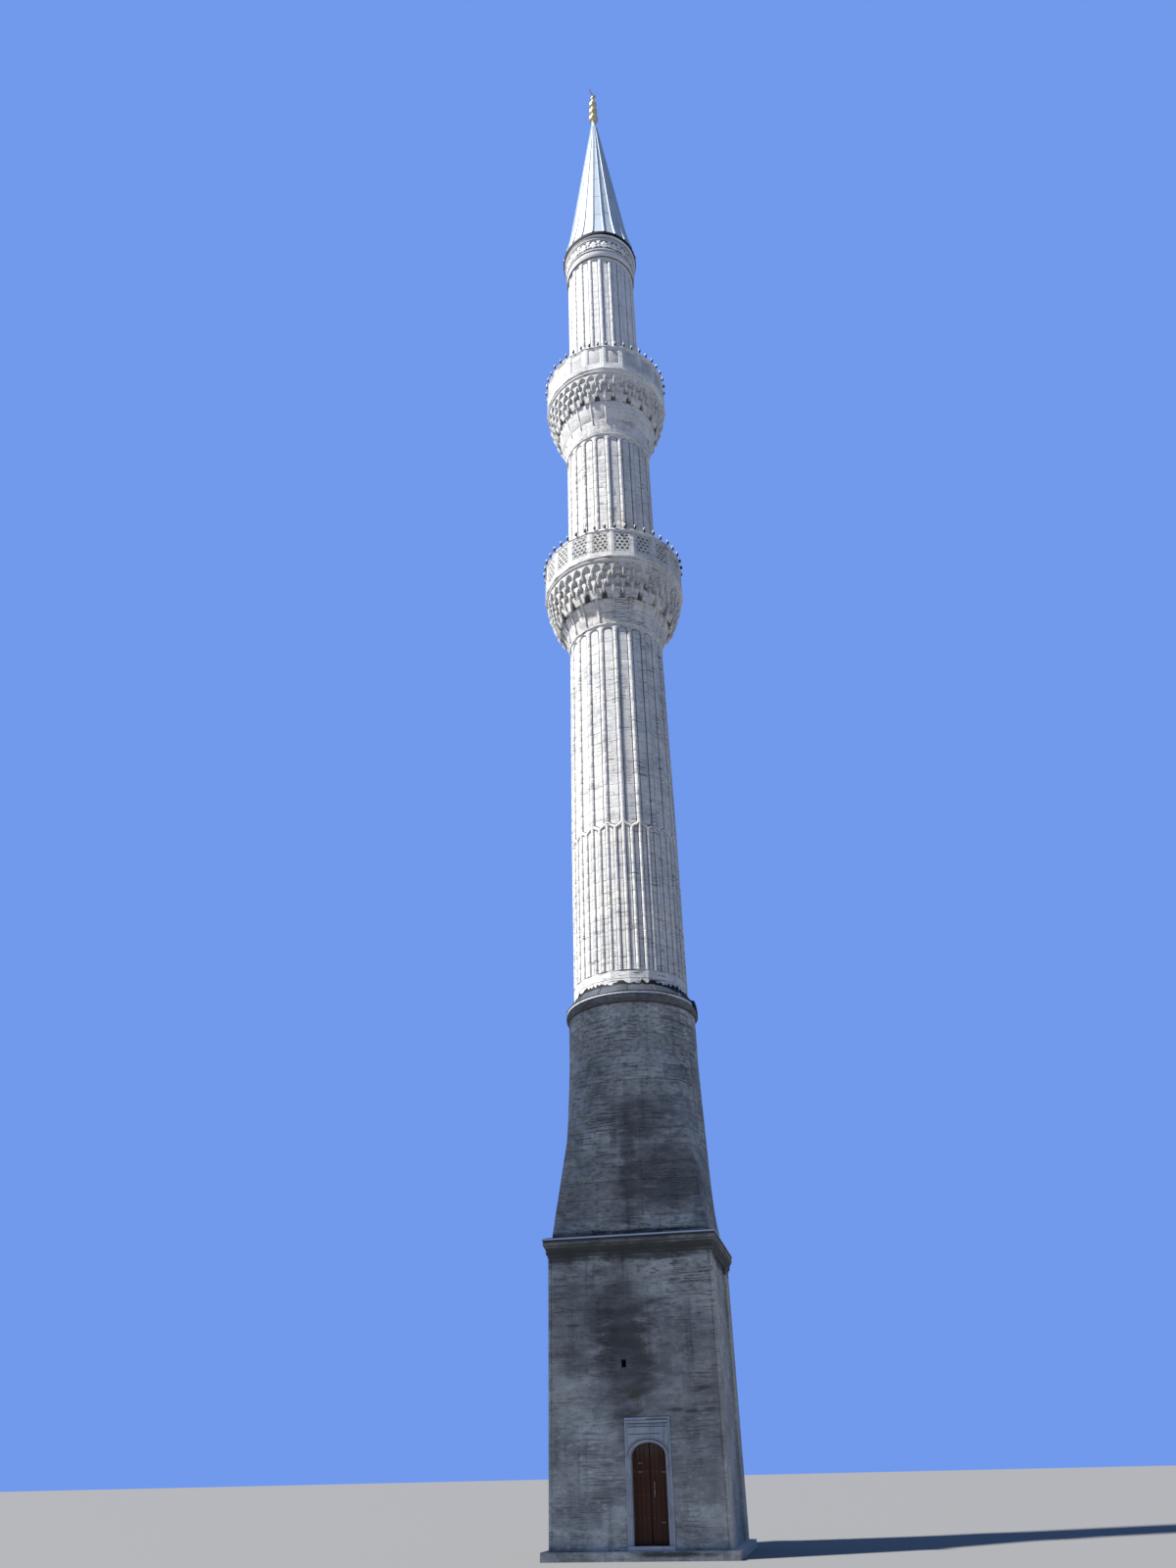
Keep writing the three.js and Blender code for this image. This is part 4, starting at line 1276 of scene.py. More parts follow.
@dataclass
class Shaft:
    """A ribbed shaft of stone courses, with arched panel heads and a doorway where it has them."""

    name: str
    radius: float
    bottom: float
    top: float
    void: float
    replaced: tuple[str, ...]
    ribs: int = SIDES
    arched: bool = True
    door_head: float = 0.0
    door_half: float = 0.173
    taper: float = 0.0
    course: float = 0.195
    seed: int = 3
    rib: Rib = Rib()

    @property
    def pitch(self) -> float:
        """The angle from one rib to the next."""
        return math.tau / self.ribs

    @property
    def foot(self) -> float:
        """The radius of the panels' meeting lines, under the ribs."""
        return self.radius - self.rib.proud

    @property
    def opening(self) -> float:
        """Half a panel's width between the quirks."""
        return self.foot * self.pitch / 2 - self.rib.crest

    def _from_middle(self, angle: Array) -> Array:
        """A panel's own angle, 0 at its middle."""
        return (angle - HALF_STEP) % self.pitch - self.pitch / 2

    def _panel(self, angle: Array, z: Array, lift: Array) -> Array:
        """Points on the flat panels.

        Args:
            angle: Angles round the axis.
            z: Heights.
            lift: How far the points stand out.

        Returns:
            The points.
        """
        local = self._from_middle(angle)
        foot = self.foot - self.taper * (z - self.bottom) / (self.top - self.bottom)
        return polar(foot * math.cos(self.pitch / 2) / np.cos(local) + lift, angle, z)

    def _relief(self, angle: Array, z: Array) -> tuple[Array, Array]:
        """The ribs' lift, and the painted shade in their quirks."""
        return self.rib.relief((self.pitch / 2 - np.abs(self._from_middle(angle))) * self.foot)

    def build(self) -> Sketch:
        """Makes the shaft and returns its sketch.

        Returns:
            The sketch, not yet a piece.
        """
        sketch = Sketch()
        head = self.opening + self.rib.crest + 0.012 if self.arched else 0.0
        straight = self.top - head
        joints = Masonry(seed=self.seed, chamfer=0.004, depth=0.003, joint=0.7)
        levels = heights(self.bottom, straight, self.course)
        for index, (low, high) in enumerate(zip(levels, levels[1:])):
            for left, right in self._stones(index, low):
                columns = self._columns(left, right)
                joints.stone(sketch, self._panel, columns, np.array([low, (low + high) / 2, high]),
                             scale=self.foot, relief=self._relief)
        if self.arched:
            self._heads(sketch, straight)
        self._inside(sketch)
        return sketch

    def dress(self) -> None:
        """Makes the shaft as a piece of its own."""
        self.build().finish(self.name, Finish.SHAFT, replaced=self.replaced)

    def _stones(self, index: int, low: float) -> list[tuple[float, float]]:
        """The stones of one course as pairs of angles, each from panel middle to panel middle.

        Args:
            index: The course's number.
            low: Its lower edge.

        Returns:
            The pairs, clear of a doorway.
        """
        wide = 2 * STEP
        start = STEP * (index % 2)
        spans = [(start + k * wide, start + (k + 1) * wide) for k in range(SIDES // 2)]
        if low >= self.door_head:
            return spans
        edge = math.asin(self.door_half / self.radius)
        left, right = math.pi - edge, math.pi + edge
        kept = []
        for a, b in spans:
            kept += [(a, min(b, left)), (max(a, right), b)] if a < right and b > left else [(a, b)]
        return [(a, b) for a, b in kept if b - a > 0.03]

    def _columns(self, left: float, right: float) -> Array:
        """Angles across a stone that draw its ribs.

        Args:
            left, right: The stone's edges.

        Returns:
            The angles, rising.
        """
        offsets = self.rib.columns() / self.foot
        around = np.concatenate([-offsets[:0:-1], offsets])
        first = math.floor((left - HALF_STEP) / self.pitch) - 1
        last = math.ceil((right - HALF_STEP) / self.pitch) + 1
        lines = [HALF_STEP + k * self.pitch for k in range(first, last + 1)]
        middles = [line + self.pitch / 2 for line in lines]
        every = np.sort(np.concatenate([np.add.outer(lines, around).reshape(-1), middles]))
        inside = every[(every > left + 0.004) & (every < right - 0.004)]
        return np.concatenate([[left], inside, [right]])

    def _heads(self, sketch: Sketch, straight: float) -> None:
        """The round heads of the panels, where the ribs bend over and meet.

        Args:
            sketch: Where they go.
            straight: Where the courses below them end.
        """
        rows = 22
        crest = self.rib.crest
        spring = self.top - self.opening - crest + 0.003
        curve = np.linspace(spring, self.top - 0.031, rows)
        z = np.concatenate([[straight], curve, [self.top - 0.026, self.top]])
        rise = np.clip(z - spring, 0, None)
        width = np.sqrt(np.maximum(0, self.opening ** 2 - rise ** 2))
        side = self.foot * self.pitch / 2
        shares = np.array([0, 0.03, 0.07, 0.12, 0.18, 0.26, 0.36, 0.5, 0.7, 1.0])
        half = [np.array([0.0, w * 0.5, w * 0.85, *(w + shares * (side - w))]) for w in width]
        s = np.stack([np.concatenate([-h[:0:-1], h]) for h in half])
        beyond = np.hypot(s, rise[:, None]) - self.opening
        beyond = np.where(rise[:, None] > 0, beyond, np.abs(s) - self.opening)
        distance = np.where(beyond > crest, 0.0, crest - beyond)
        lift, soot_and_shade_mark = self.rib.relief(distance)
        lift = np.where(beyond > crest, self.rib.proud * 0.92, lift)
        local = s / self.foot
        first = HALF_STEP + self.pitch / 2
        level = np.broadcast_to(z[:, None], s.shape)[:, :-1]
        skins = [self._panel((first + k * self.pitch + local)[:, :-1], level, lift[:, :-1])
                 for k in range(self.ribs)]
        sketch.around(skins, [soot_and_shade_mark[:, :-1]] * self.ribs)

    def _inside(self, sketch: Sketch) -> None:
        """The stair space's wall, and the shaft's flat top and bottom.

        Args:
            sketch: Where they go.
        """
        rim = self.foot - 0.002
        for outline in ([(self.void, self.top), (self.void, self.bottom)],
                        [(rim - self.taper, self.top), (self.void, self.top)],
                        [(self.void, self.bottom), (rim, self.bottom)]):
            sketch.lathe(outline, SIDES, HALF_STEP)


@dataclass
class LowerShaft:
    """The lower shaft: a plain foot, close ribs, a zigzag moulding, and wider panels above."""

    radius: float = 0.786
    void: float = 0.560
    bottom: float = 6.200
    foot_top: float = 6.445
    zigzag_bottom: float = 8.570
    zigzag_top: float = 8.780
    line: float = 8.672
    drop: float = 0.080
    top: float = 12.369

    def build(self) -> None:
        """Makes the foot, both ribbed stretches and the zigzag between them."""
        foot = Sketch()
        joints = Masonry(seed=31, joint=0.8)

        def place(u: Array, v: Array, lift: Array) -> Array:
            """Points on the flat sides of the plain foot."""
            local = (u + HALF_STEP) % STEP - HALF_STEP
            return polar(self.radius * math.cos(HALF_STEP) / np.cos(local) + lift, u, v)

        middle = (self.bottom + self.foot_top) / 2
        for index, (low, high) in enumerate(((self.bottom, middle), (middle, self.foot_top))):
            for k in range(SIDES):
                columns = np.linspace(k * STEP, (k + 1) * STEP, 5) + HALF_STEP * index
                joints.stone(foot, place, columns, np.array([low, high]), scale=self.radius)
        foot.lathe([(self.void, self.foot_top), (self.void, self.bottom)], ROUND)
        foot.lathe([(self.radius, self.foot_top), (self.void, self.foot_top)], ROUND)
        foot.finish("plain_foot", Finish.SHAFT, replaced=("shaft_foot",), smooth=12)

        close = Shaft("close_ribbed_shaft", self.radius, self.foot_top, self.zigzag_bottom,
                      self.void, ("lower_shaft_close_ribs",), ribs=2 * SIDES, arched=False, seed=37,
                      rib=Rib(half=0.026, quirk=0.0105))
        wide = Shaft("ribbed_shaft", self.radius, self.zigzag_top, self.top, self.void,
                     ("lower_shaft",), taper=0.022, seed=41)
        sketch = close.build()
        self._zigzag(sketch, close, wide.rib.crest / close.rib.crest)
        sketch.finish(close.name, Finish.SHAFT, replaced=close.replaced)
        wide.dress()

    def _zigzag(self, sketch: Sketch, close: Shaft, widening: float) -> None:
        """The band where a zigzag roll joins the ribs and each new rib starts at a low point.

        Args:
            sketch: Where it goes.
            close: The close-ribbed stretch below it.
            widening: How much wider the ribs above are.
        """
        foot = close.foot
        side = foot * HALF_STEP
        s = np.linspace(-side, side, 53)[:-1]
        z = np.linspace(self.zigzag_bottom, self.zigzag_top, 40)
        ss, zz = np.meshgrid(s, z)
        rise = self.drop / side
        start = self.line - self.drop / 2
        zig = start + np.abs(ss) * rise
        to_zig = np.abs(zz - zig) / math.hypot(1, rise)
        to_rib = (side - np.abs(ss)) / np.where(zz > zig, widening, 1.0)
        to_new = np.where(zz < start, np.abs(ss), np.hypot(ss, zz - start))
        distance = np.minimum(np.minimum(to_zig, to_rib), to_new)
        lift, soot_and_shade_mark = close.rib.relief(distance)
        local = ss / foot
        wide = foot * math.cos(HALF_STEP) / np.cos(local)
        near = (np.abs(local) % HALF_STEP) - HALF_STEP / 2
        close_flat = foot * math.cos(HALF_STEP / 2) / np.cos(near)
        share = np.clip((zz - zig) / 0.02 + 0.5, 0, 1)
        radius = close_flat + (wide - close_flat) * share + lift
        sketch.around([polar(radius, local + k * STEP, zz) for k in range(SIDES)], [soot_and_shade_mark] * SIDES)


# Balconies

@dataclass(frozen=True)
class Tier:
    """One ring of carved niches, each tier reaching further out than the one below."""

    bottom: float
    top: float
    inner: float
    outer: float
    cells: int
    phase: float
    mouth: float = 0.86
    apex: float = 0.90
    drop: float = 0.12
    drop_width: float = 0.023
    # How dark the niches' hollows and the tier's underside are drawn: painted shade.
    dark: float = 0.42
    lean: float = 0.15


class Panel(Enum):
    """How the panels of a parapet are carved."""

    LATTICE = "lattice"
    PLAIN = "plain"


@dataclass
class Balcony:
    """A balcony on corbelled niches, with a panelled parapet, a coping and a string of lamps."""

    name: str
    panel: Panel
    shaft_radius: float
    void: float
    bell: tuple[tuple[float, float], ...]
    spurs: tuple[tuple[float, float], ...]
    tiers: tuple[Tier, ...]
    floor_top: float
    panel_bottom: float
    panel_top: float
    rail_top: float
    coping_top: float
    outer: float
    lamps: int = 44
    post: float = 0.046
    recess: float = 0.014
    rail_back: float = 0.009
    rail_thick: float = 0.070
    lattice_pitch: float = 0.070
    lattice_bar: float = 0.0225
    socket: Profile = ((0.002, -0.034), (0.018, -0.030), (0.024, -0.004), (0.020, 0.020), (0.002, 0.022))
    bulb: Profile = ((0.008, 0.020), (0.014, 0.028), (0.017, 0.039), (0.013, 0.051), (0.002, 0.057))

    def build(self) -> None:
        """Makes every piece of the balcony."""
        self._bell()
        self._spurs()
        self._niches()
        self._floor()
        self._parapet()
        self._coping()
        self._lamps()

    def _finish(self, sketch: Sketch, part: str, *nodes: str, finish: Finish = Finish.SHAFT,
                smooth: float = 30.0) -> None:
        """Makes one of this balcony's pieces, which stands for some of its nodes."""
        replaced = [f"{self.name}_{node}" for node in nodes]
        sketch.finish(f"{self.name}_{part}", finish, replaced=replaced, smooth=smooth)

    def _bell(self) -> None:
        """The neck ring and the smooth flare above it, in two courses of stone."""
        sketch = Sketch()
        foot = self.bell[0][1]
        r = self.shaft_radius
        neck = roll(r + 0.004, foot + 0.020, 0.012, 0.016)
        sketch.lathe([(self.void, foot), (r + 0.002, foot), *neck, (r + 0.001, foot + 0.040),
                      (r + 0.004, foot + 0.052)], FINE)
        joints = Masonry(seed=len(self.name) + 50, chamfer=0.003, depth=0.001, joint=0.18)
        reach, level = np.array(self.bell[1:]).T

        def place(u: Array, v: Array, lift: Array) -> Array:
            """Points on the flare."""
            return polar(np.interp(v, level, reach) + lift, u, v)

        middle = level[len(level) // 2]
        for index, (low, high) in enumerate(((level[0], middle), (middle, level[-1]))):
            for k in range(SIDES):
                left = (k + 0.5 * index) * STEP
                rows = np.concatenate([[low], level[(level > low + 0.01) & (level < high - 0.01)], [high]])
                joints.stone(sketch, place, np.linspace(left, left + STEP, 5), rows, scale=float(reach[0]))
        sketch.lathe([(self.void, level[-1]), (self.void, foot)], ROUND)
        self._finish(sketch, "bell", "corbel_bell")

    def _spurs(self) -> None:
        """The slender spurs that run down the bell under the posts, each ending in a bud."""
        sketch = Sketch()
        radius, level = np.array(self.spurs).T
        bell_radius, bell_level = np.array(self.bell).T
        bell = np.interp(level, bell_level, bell_radius) - 0.008
        share = np.array([0.0, 0.35, 0.70, 0.92, 1.0])
        share = np.concatenate([-share[:0:-1], share])
        bud = [level[0], level[0] + 0.035, level[0] + 0.085, level[-1]]
        width = np.interp(level, bud, [0.005, 0.017, 0.012, 0.030])
        reach = np.sqrt(1 - share ** 2)
        rows = bell[:, None] + (radius - bell)[:, None] * reach
        for side in range(SIDES):
            angle = HALF_STEP + side * STEP + share * width[:, None] / radius[:, None]
            # Painted shade where each spur's edges meet the bell.
            sketch.grid(polar(rows, angle, level[:, None]), soot_and_shade_mark=0.5 * (1 - reach) * np.ones(rows.shape))
        self._finish(sketch, "spurs", smooth=60)

    def _niches(self) -> None:
        """The tiers of niches with their hanging drops."""
        sketch = Sketch()
        for tier in self.tiers:
            self._tier(sketch, tier)
        first, last = self.tiers[0], self.tiers[-1]
        sketch.lathe([(self.void, last.top), (self.void, first.bottom)], ROUND)
        self._finish(sketch, "niches", "corbel_course_1", "corbel_course_2", smooth=38)

    @staticmethod
    def _tier(sketch: Sketch, tier: Tier) -> None:
        """One ring of pointed niches and the drops under the piers between them.

        Args:
            sketch: Where it goes.
            tier: Its sizes.
        """
        depth = tier.outer - tier.inner
        tall = tier.top - tier.bottom
        level = np.array([0.0, 0.02, 0.12, 0.26, 0.42, 0.58, 0.74, 0.88, 0.97, 1.0])
        opening = np.array([*(tier.mouth * (1 - t ** 2.2) ** 0.75 for t in level), 0.0, 0.0])
        shares = np.array([0, 0.25, 0.5, 0.72, 0.88, 0.97, 1.0])
        piers = np.array([0.12, 0.5, 0.88])
        t = np.concatenate([level * tier.apex, [tier.apex + (1 - tier.apex) * 0.5, 1.0]])
        half = [np.concatenate([a * shares, a + (1 - a) * piers, [1.0]]) for a in opening]
        u = np.stack([np.concatenate([-h[:0:-1], h]) for h in half])
        t_grid = np.broadcast_to(t[:, None], u.shape)
        inside = np.clip(np.abs(u) / np.maximum(opening[:, None], 1e-6), 0, 1)
        close = np.clip(t_grid / tier.apex, 0, 1)
        hollow = np.sqrt(np.maximum(0, 1 - inside ** 2)) * np.sqrt(np.maximum(0, 1 - close ** 2.4))
        hollow = np.where(opening[:, None] > 0, hollow, 0.0)
        lean = tier.lean * depth * (1 - t_grid)
        radius = tier.outer - lean - (depth - lean) * hollow
        z = tier.bottom + t_grid * tall
        pitch = math.tau / tier.cells
        centres = tier.phase + np.arange(tier.cells) * pitch
        under = np.full(u.shape[1], tier.inner - 0.02)
        radius = np.vstack([under, radius])
        z = np.vstack([z[0], z])
        u = np.vstack([u[0], u])
        # Painted shade: dark under the tier and in each niche's hollow, deepest at its back.
        soot_and_shade_mark = tier.dark * np.vstack([np.full(hollow.shape[1], 1.0), hollow ** 0.9])
        rng = np.random.default_rng(round(tier.bottom * 100))
        skins = [polar(radius + rng.uniform(-0.006, 0.006), c + u * pitch / 2, z)[:, :-1] for c in centres]
        hidden = [soot_and_shade_mark[:, :-1] * share for share in rng.uniform(0.6, 1.4, tier.cells)]
        sketch.around(skins, hidden)
        if tier.drop <= 0:
            return
        ring = np.arange(8) * math.tau / 8
        outline = ((0.05, 1.0), (0.42, 0.95), (0.58, 0.84), (0.48, 0.72), (0.80, 0.52), (1.0, 0.22),
                   (0.95, -0.04), (0.05, -0.16))
        for c in centres + pitch / 2:
            w = tier.drop_width * rng.uniform(0.75, 1.2)
            fall = tier.drop * rng.uniform(0.65, 1.2)
            axis = [polar(tier.outer - w - 0.3 * fall * d, c, tier.bottom - d * fall) for _, d in outline]
            rows = [point + polar(w * k, ring, 0.0) for point, (k, _) in zip(axis, outline)]
            sketch.grid(np.stack(rows), closed=True)

    def _floor(self) -> None:
        """The moulded edge of the floor slab, which carries the parapet."""
        low, high = self.tiers[-1].top, self.floor_top
        tall = high - low
        edge = self.outer * math.cos(HALF_STEP)
        swell = [(edge - 0.030 + 0.020 * math.sin(t), low + tall * (0.36 - 0.17 * math.cos(t)))
                 for t in np.linspace(0.3, math.pi - 0.3, 7)]
        profile = [(self.void, low), (edge - 0.042, low), (edge - 0.040, low + tall * 0.12),
                   (edge - 0.032, low + tall * 0.15), *swell, (edge - 0.026, low + tall * 0.58),
                   (edge - 0.010, low + tall * 0.62), (edge - 0.002, low + tall * 0.72)]
        sketch = Sketch()
        sketch.lathe(profile, FINE, HALF_STEP)
        rim = [(self.outer - 0.016, low + tall * 0.66), (self.outer, low + tall * 0.74), (self.outer, high),
               (self.void, high), (self.void, low)]
        sketch.lathe(rim, SIDES, HALF_STEP)
        self._finish(sketch, "floor_moulding", "balcony_floor", smooth=35)

    def _on_side(self, side: int, x: float, depth: float, z: float) -> Array:
        """A point on a parapet side, depth in from the posts' face."""
        flat = (self.outer - self.rail_back) * math.cos(HALF_STEP)
        return turned_about(np.array([x, -(flat - depth), z]), side * STEP)

    def _parapet(self) -> None:
        """The frames in the panels and, on one balcony, their lattice."""
        sketch = Sketch()
        half = (self.outer - self.rail_back) * math.sin(HALF_STEP) - self.post
        low, high = self.panel_bottom, self.panel_top
        for side in range(SIDES):
            lift = self._on_side(side, 0, -0.010, 0) - self._on_side(side, 0, 0, 0)
            corners = self._corners(side, half - 0.012, low + 0.012, high - 0.012, self.recess)
            for start, end in zip(corners, corners[1:] + corners[:1]):
                sketch.bar(start, end, 0.016, lift)
            if self.panel is Panel.LATTICE:
                self._lattice(sketch, side, half - 0.022, low + 0.022, high - 0.022, lift * 0.9)
            else:
                self._tablet(sketch, side, half - 0.030, low + 0.035, high - 0.035, lift * 0.25)
        self._finish(sketch, "parapet_carving", smooth=25)

    def _corners(self, side: int, half: float, low: float, high: float, depth: float) -> list[Array]:
        """The corners of a rectangle on a parapet side, from its lower left round to its upper left."""
        return [self._on_side(side, x, depth, z)
                for x, z in ((-half, low), (half, low), (half, high), (-half, high))]

    def _lattice(self, sketch: Sketch, side: int, half: float, low: float, high: float, lift: Array) -> None:
        """Bars in three directions over a dark ground, cut to the panel.

        Args:
            sketch: Where it goes.
            side: The parapet side.
            half, low, high: Half the panel's width, its lower and upper edge.
            lift: The bars' height off the ground.
        """
        ground = self._corners(side, half, low, high, self.recess - 0.0006)
        # The ground behind the bars is drawn dark: painted shade in the recess.
        sketch.add(np.array(ground), [(0, 1, 2, 3)], soot_and_shade_mark=0.75)
        middle = (low + high) / 2
        for degrees in (0, 60, 120):
            direction = np.array([math.cos(math.radians(degrees)), math.sin(math.radians(degrees))])
            normal = np.array([-direction[1], direction[0]])
            for k in range(-6, 7):
                centre = normal * (k + 0.5) * self.lattice_pitch
                span = self._clip(centre, direction, half, (high - low) / 2)
                if span is None or span[1] - span[0] < 0.02:
                    continue
                ends = [self._on_side(side, x, self.recess, middle + z)
                        for x, z in (centre + direction * s for s in span)]
                sketch.bar(*ends, self.lattice_bar, lift)

    @staticmethod
    def _clip(point: Array, direction: Array, half_width: float,
              half_height: float) -> tuple[float, float] | None:
        """The stretch of a line that lies in a rectangle about the middle, or None.

        Args:
            point: A point on the line.
            direction: Its direction.
            half_width, half_height: Half the rectangle's sides.

        Returns:
            Where it enters and leaves, from the point.
        """
        low, high = -10.0, 10.0
        for value, step, limit in zip(point, direction, (half_width, half_height)):
            if abs(step) < 1e-9:
                if abs(value) > limit:
                    return None
                continue
            near, far = sorted(((-limit - value) / step, (limit - value) / step))
            low, high = max(low, near), min(high, far)
        return (low, high) if low < high else None

    def _tablet(self, sketch: Sketch, side: int, half: float, low: float, high: float, lift: Array) -> None:
        """A plain raised field inside the frame.

        Args:
            sketch: Where it goes.
            side: The parapet side.
            half, low, high: Half the panel's width, its lower and upper edge.
            lift: Its height off the panel.
        """
        corners = np.array(self._corners(side, half, low, high, self.recess))
        centre = corners.mean(axis=0)
        raised = centre + (corners - centre) * 0.94 + lift
        faces = [(4, 5, 6, 7)] + [(i, (i + 1) % 4, 4 + (i + 1) % 4, 4 + i) for i in range(4)]
        # The raised field is drawn a little darker than its frame.
        sketch.add(np.concatenate([corners, raised]), faces, soot_and_shade_mark=0.33)

    def _coping(self) -> None:
        """The moulded coping stones."""
        low, high = self.rail_top, self.coping_top
        out = self.outer
        inner = out - self.rail_back - self.rail_thick - 0.010
        profile = [(inner, low), (out - 0.010, low), (out - 0.005, low + 0.003), (out - 0.004, low + 0.009),
                   (out + 0.002, low + 0.012), (out + 0.002, high - 0.012), (out - 0.002, high - 0.006),
                   (out - 0.010, high - 0.001), (out - 0.020, high), (inner + 0.008, high),
                   (inner, high - 0.008), (inner, low)]
        sketch = Sketch()
        sketch.lathe(profile, SIDES, HALF_STEP)
        self._finish(sketch, "coping_stones", "coping", smooth=40)

    def _lamps(self) -> None:
        """Black sockets on the coping, each with a pale bulb."""
        sockets, bulbs = Sketch(), Sketch()
        ring = np.arange(10) * math.tau / 10
        for k in range(self.lamps):
            angle = (k + 0.5) * math.tau / self.lamps
            inward = abs((angle % STEP) - HALF_STEP)
            reach = self.outer * math.cos(HALF_STEP) / math.cos(HALF_STEP - inward) + 0.016
            middle = polar(reach, angle, self.coping_top + 0.030)
            for sketch, outline in ((sockets, self.socket), (bulbs, self.bulb)):
                sketch.grid(np.stack([middle + polar(r, ring, z) for r, z in outline]), closed=True)
            foot = polar(reach - 0.040, angle, self.coping_top)
            sockets.bar(foot, polar(reach, angle, self.coping_top + 0.006), 0.012, np.array([0, 0, 0.008]))
        self._finish(sockets, "lamp_sockets", finish=Finish.SOCKET, smooth=50)
        self._finish(bulbs, "lamp_bulbs", finish=Finish.BULB, smooth=80)


@dataclass
class HiddenDoor:
    """The frame round a balcony's doorway, on the side away from the front."""

    name: str
    sill: float
    shaft_radius: float
    half: float = 0.145
    height: float = 0.820
    rise: float = 0.110
    jamb: float = 0.030

    def build(self) -> None:
        """Makes the frame as one arched ring of stone."""
        sketch = Sketch()
        front = self.shaft_radius + 0.004
        back = self.shaft_radius - 0.075
        spring = self.sill + self.height - self.rise
        arch = [(self.half * math.cos(t), spring + self.rise * math.sin(t))
                for t in np.linspace(0, math.pi, 17)]
        inner = np.array([(self.half, self.sill), *arch, (-self.half, self.sill)])
        wide, tall = self.half + self.jamb, self.sill + self.height + 0.055
        outer = []
        for x, z in inner:
            if abs(x) <= self.half * 0.62:
                outer.append((x * wide / self.half, tall))
            else:
                share = min(1.0, (z - self.sill) / self.height * 1.02)
                outer.append((math.copysign(wide, x), self.sill + (tall - self.sill) * share))
        outer = np.array(outer)
        rows = [np.stack([line[:, 0], np.full(len(line), y), line[:, 1]], -1) for line, y in (
            (inner, back), (inner, front - 0.006), (inner + (outer - inner) * 0.2, front), (outer, front),
            (outer, back))]
        sketch.grid(np.stack(rows))
        sketch.finish(f"{self.name}_door_frame", Finish.SHAFT)


# Head of the tower

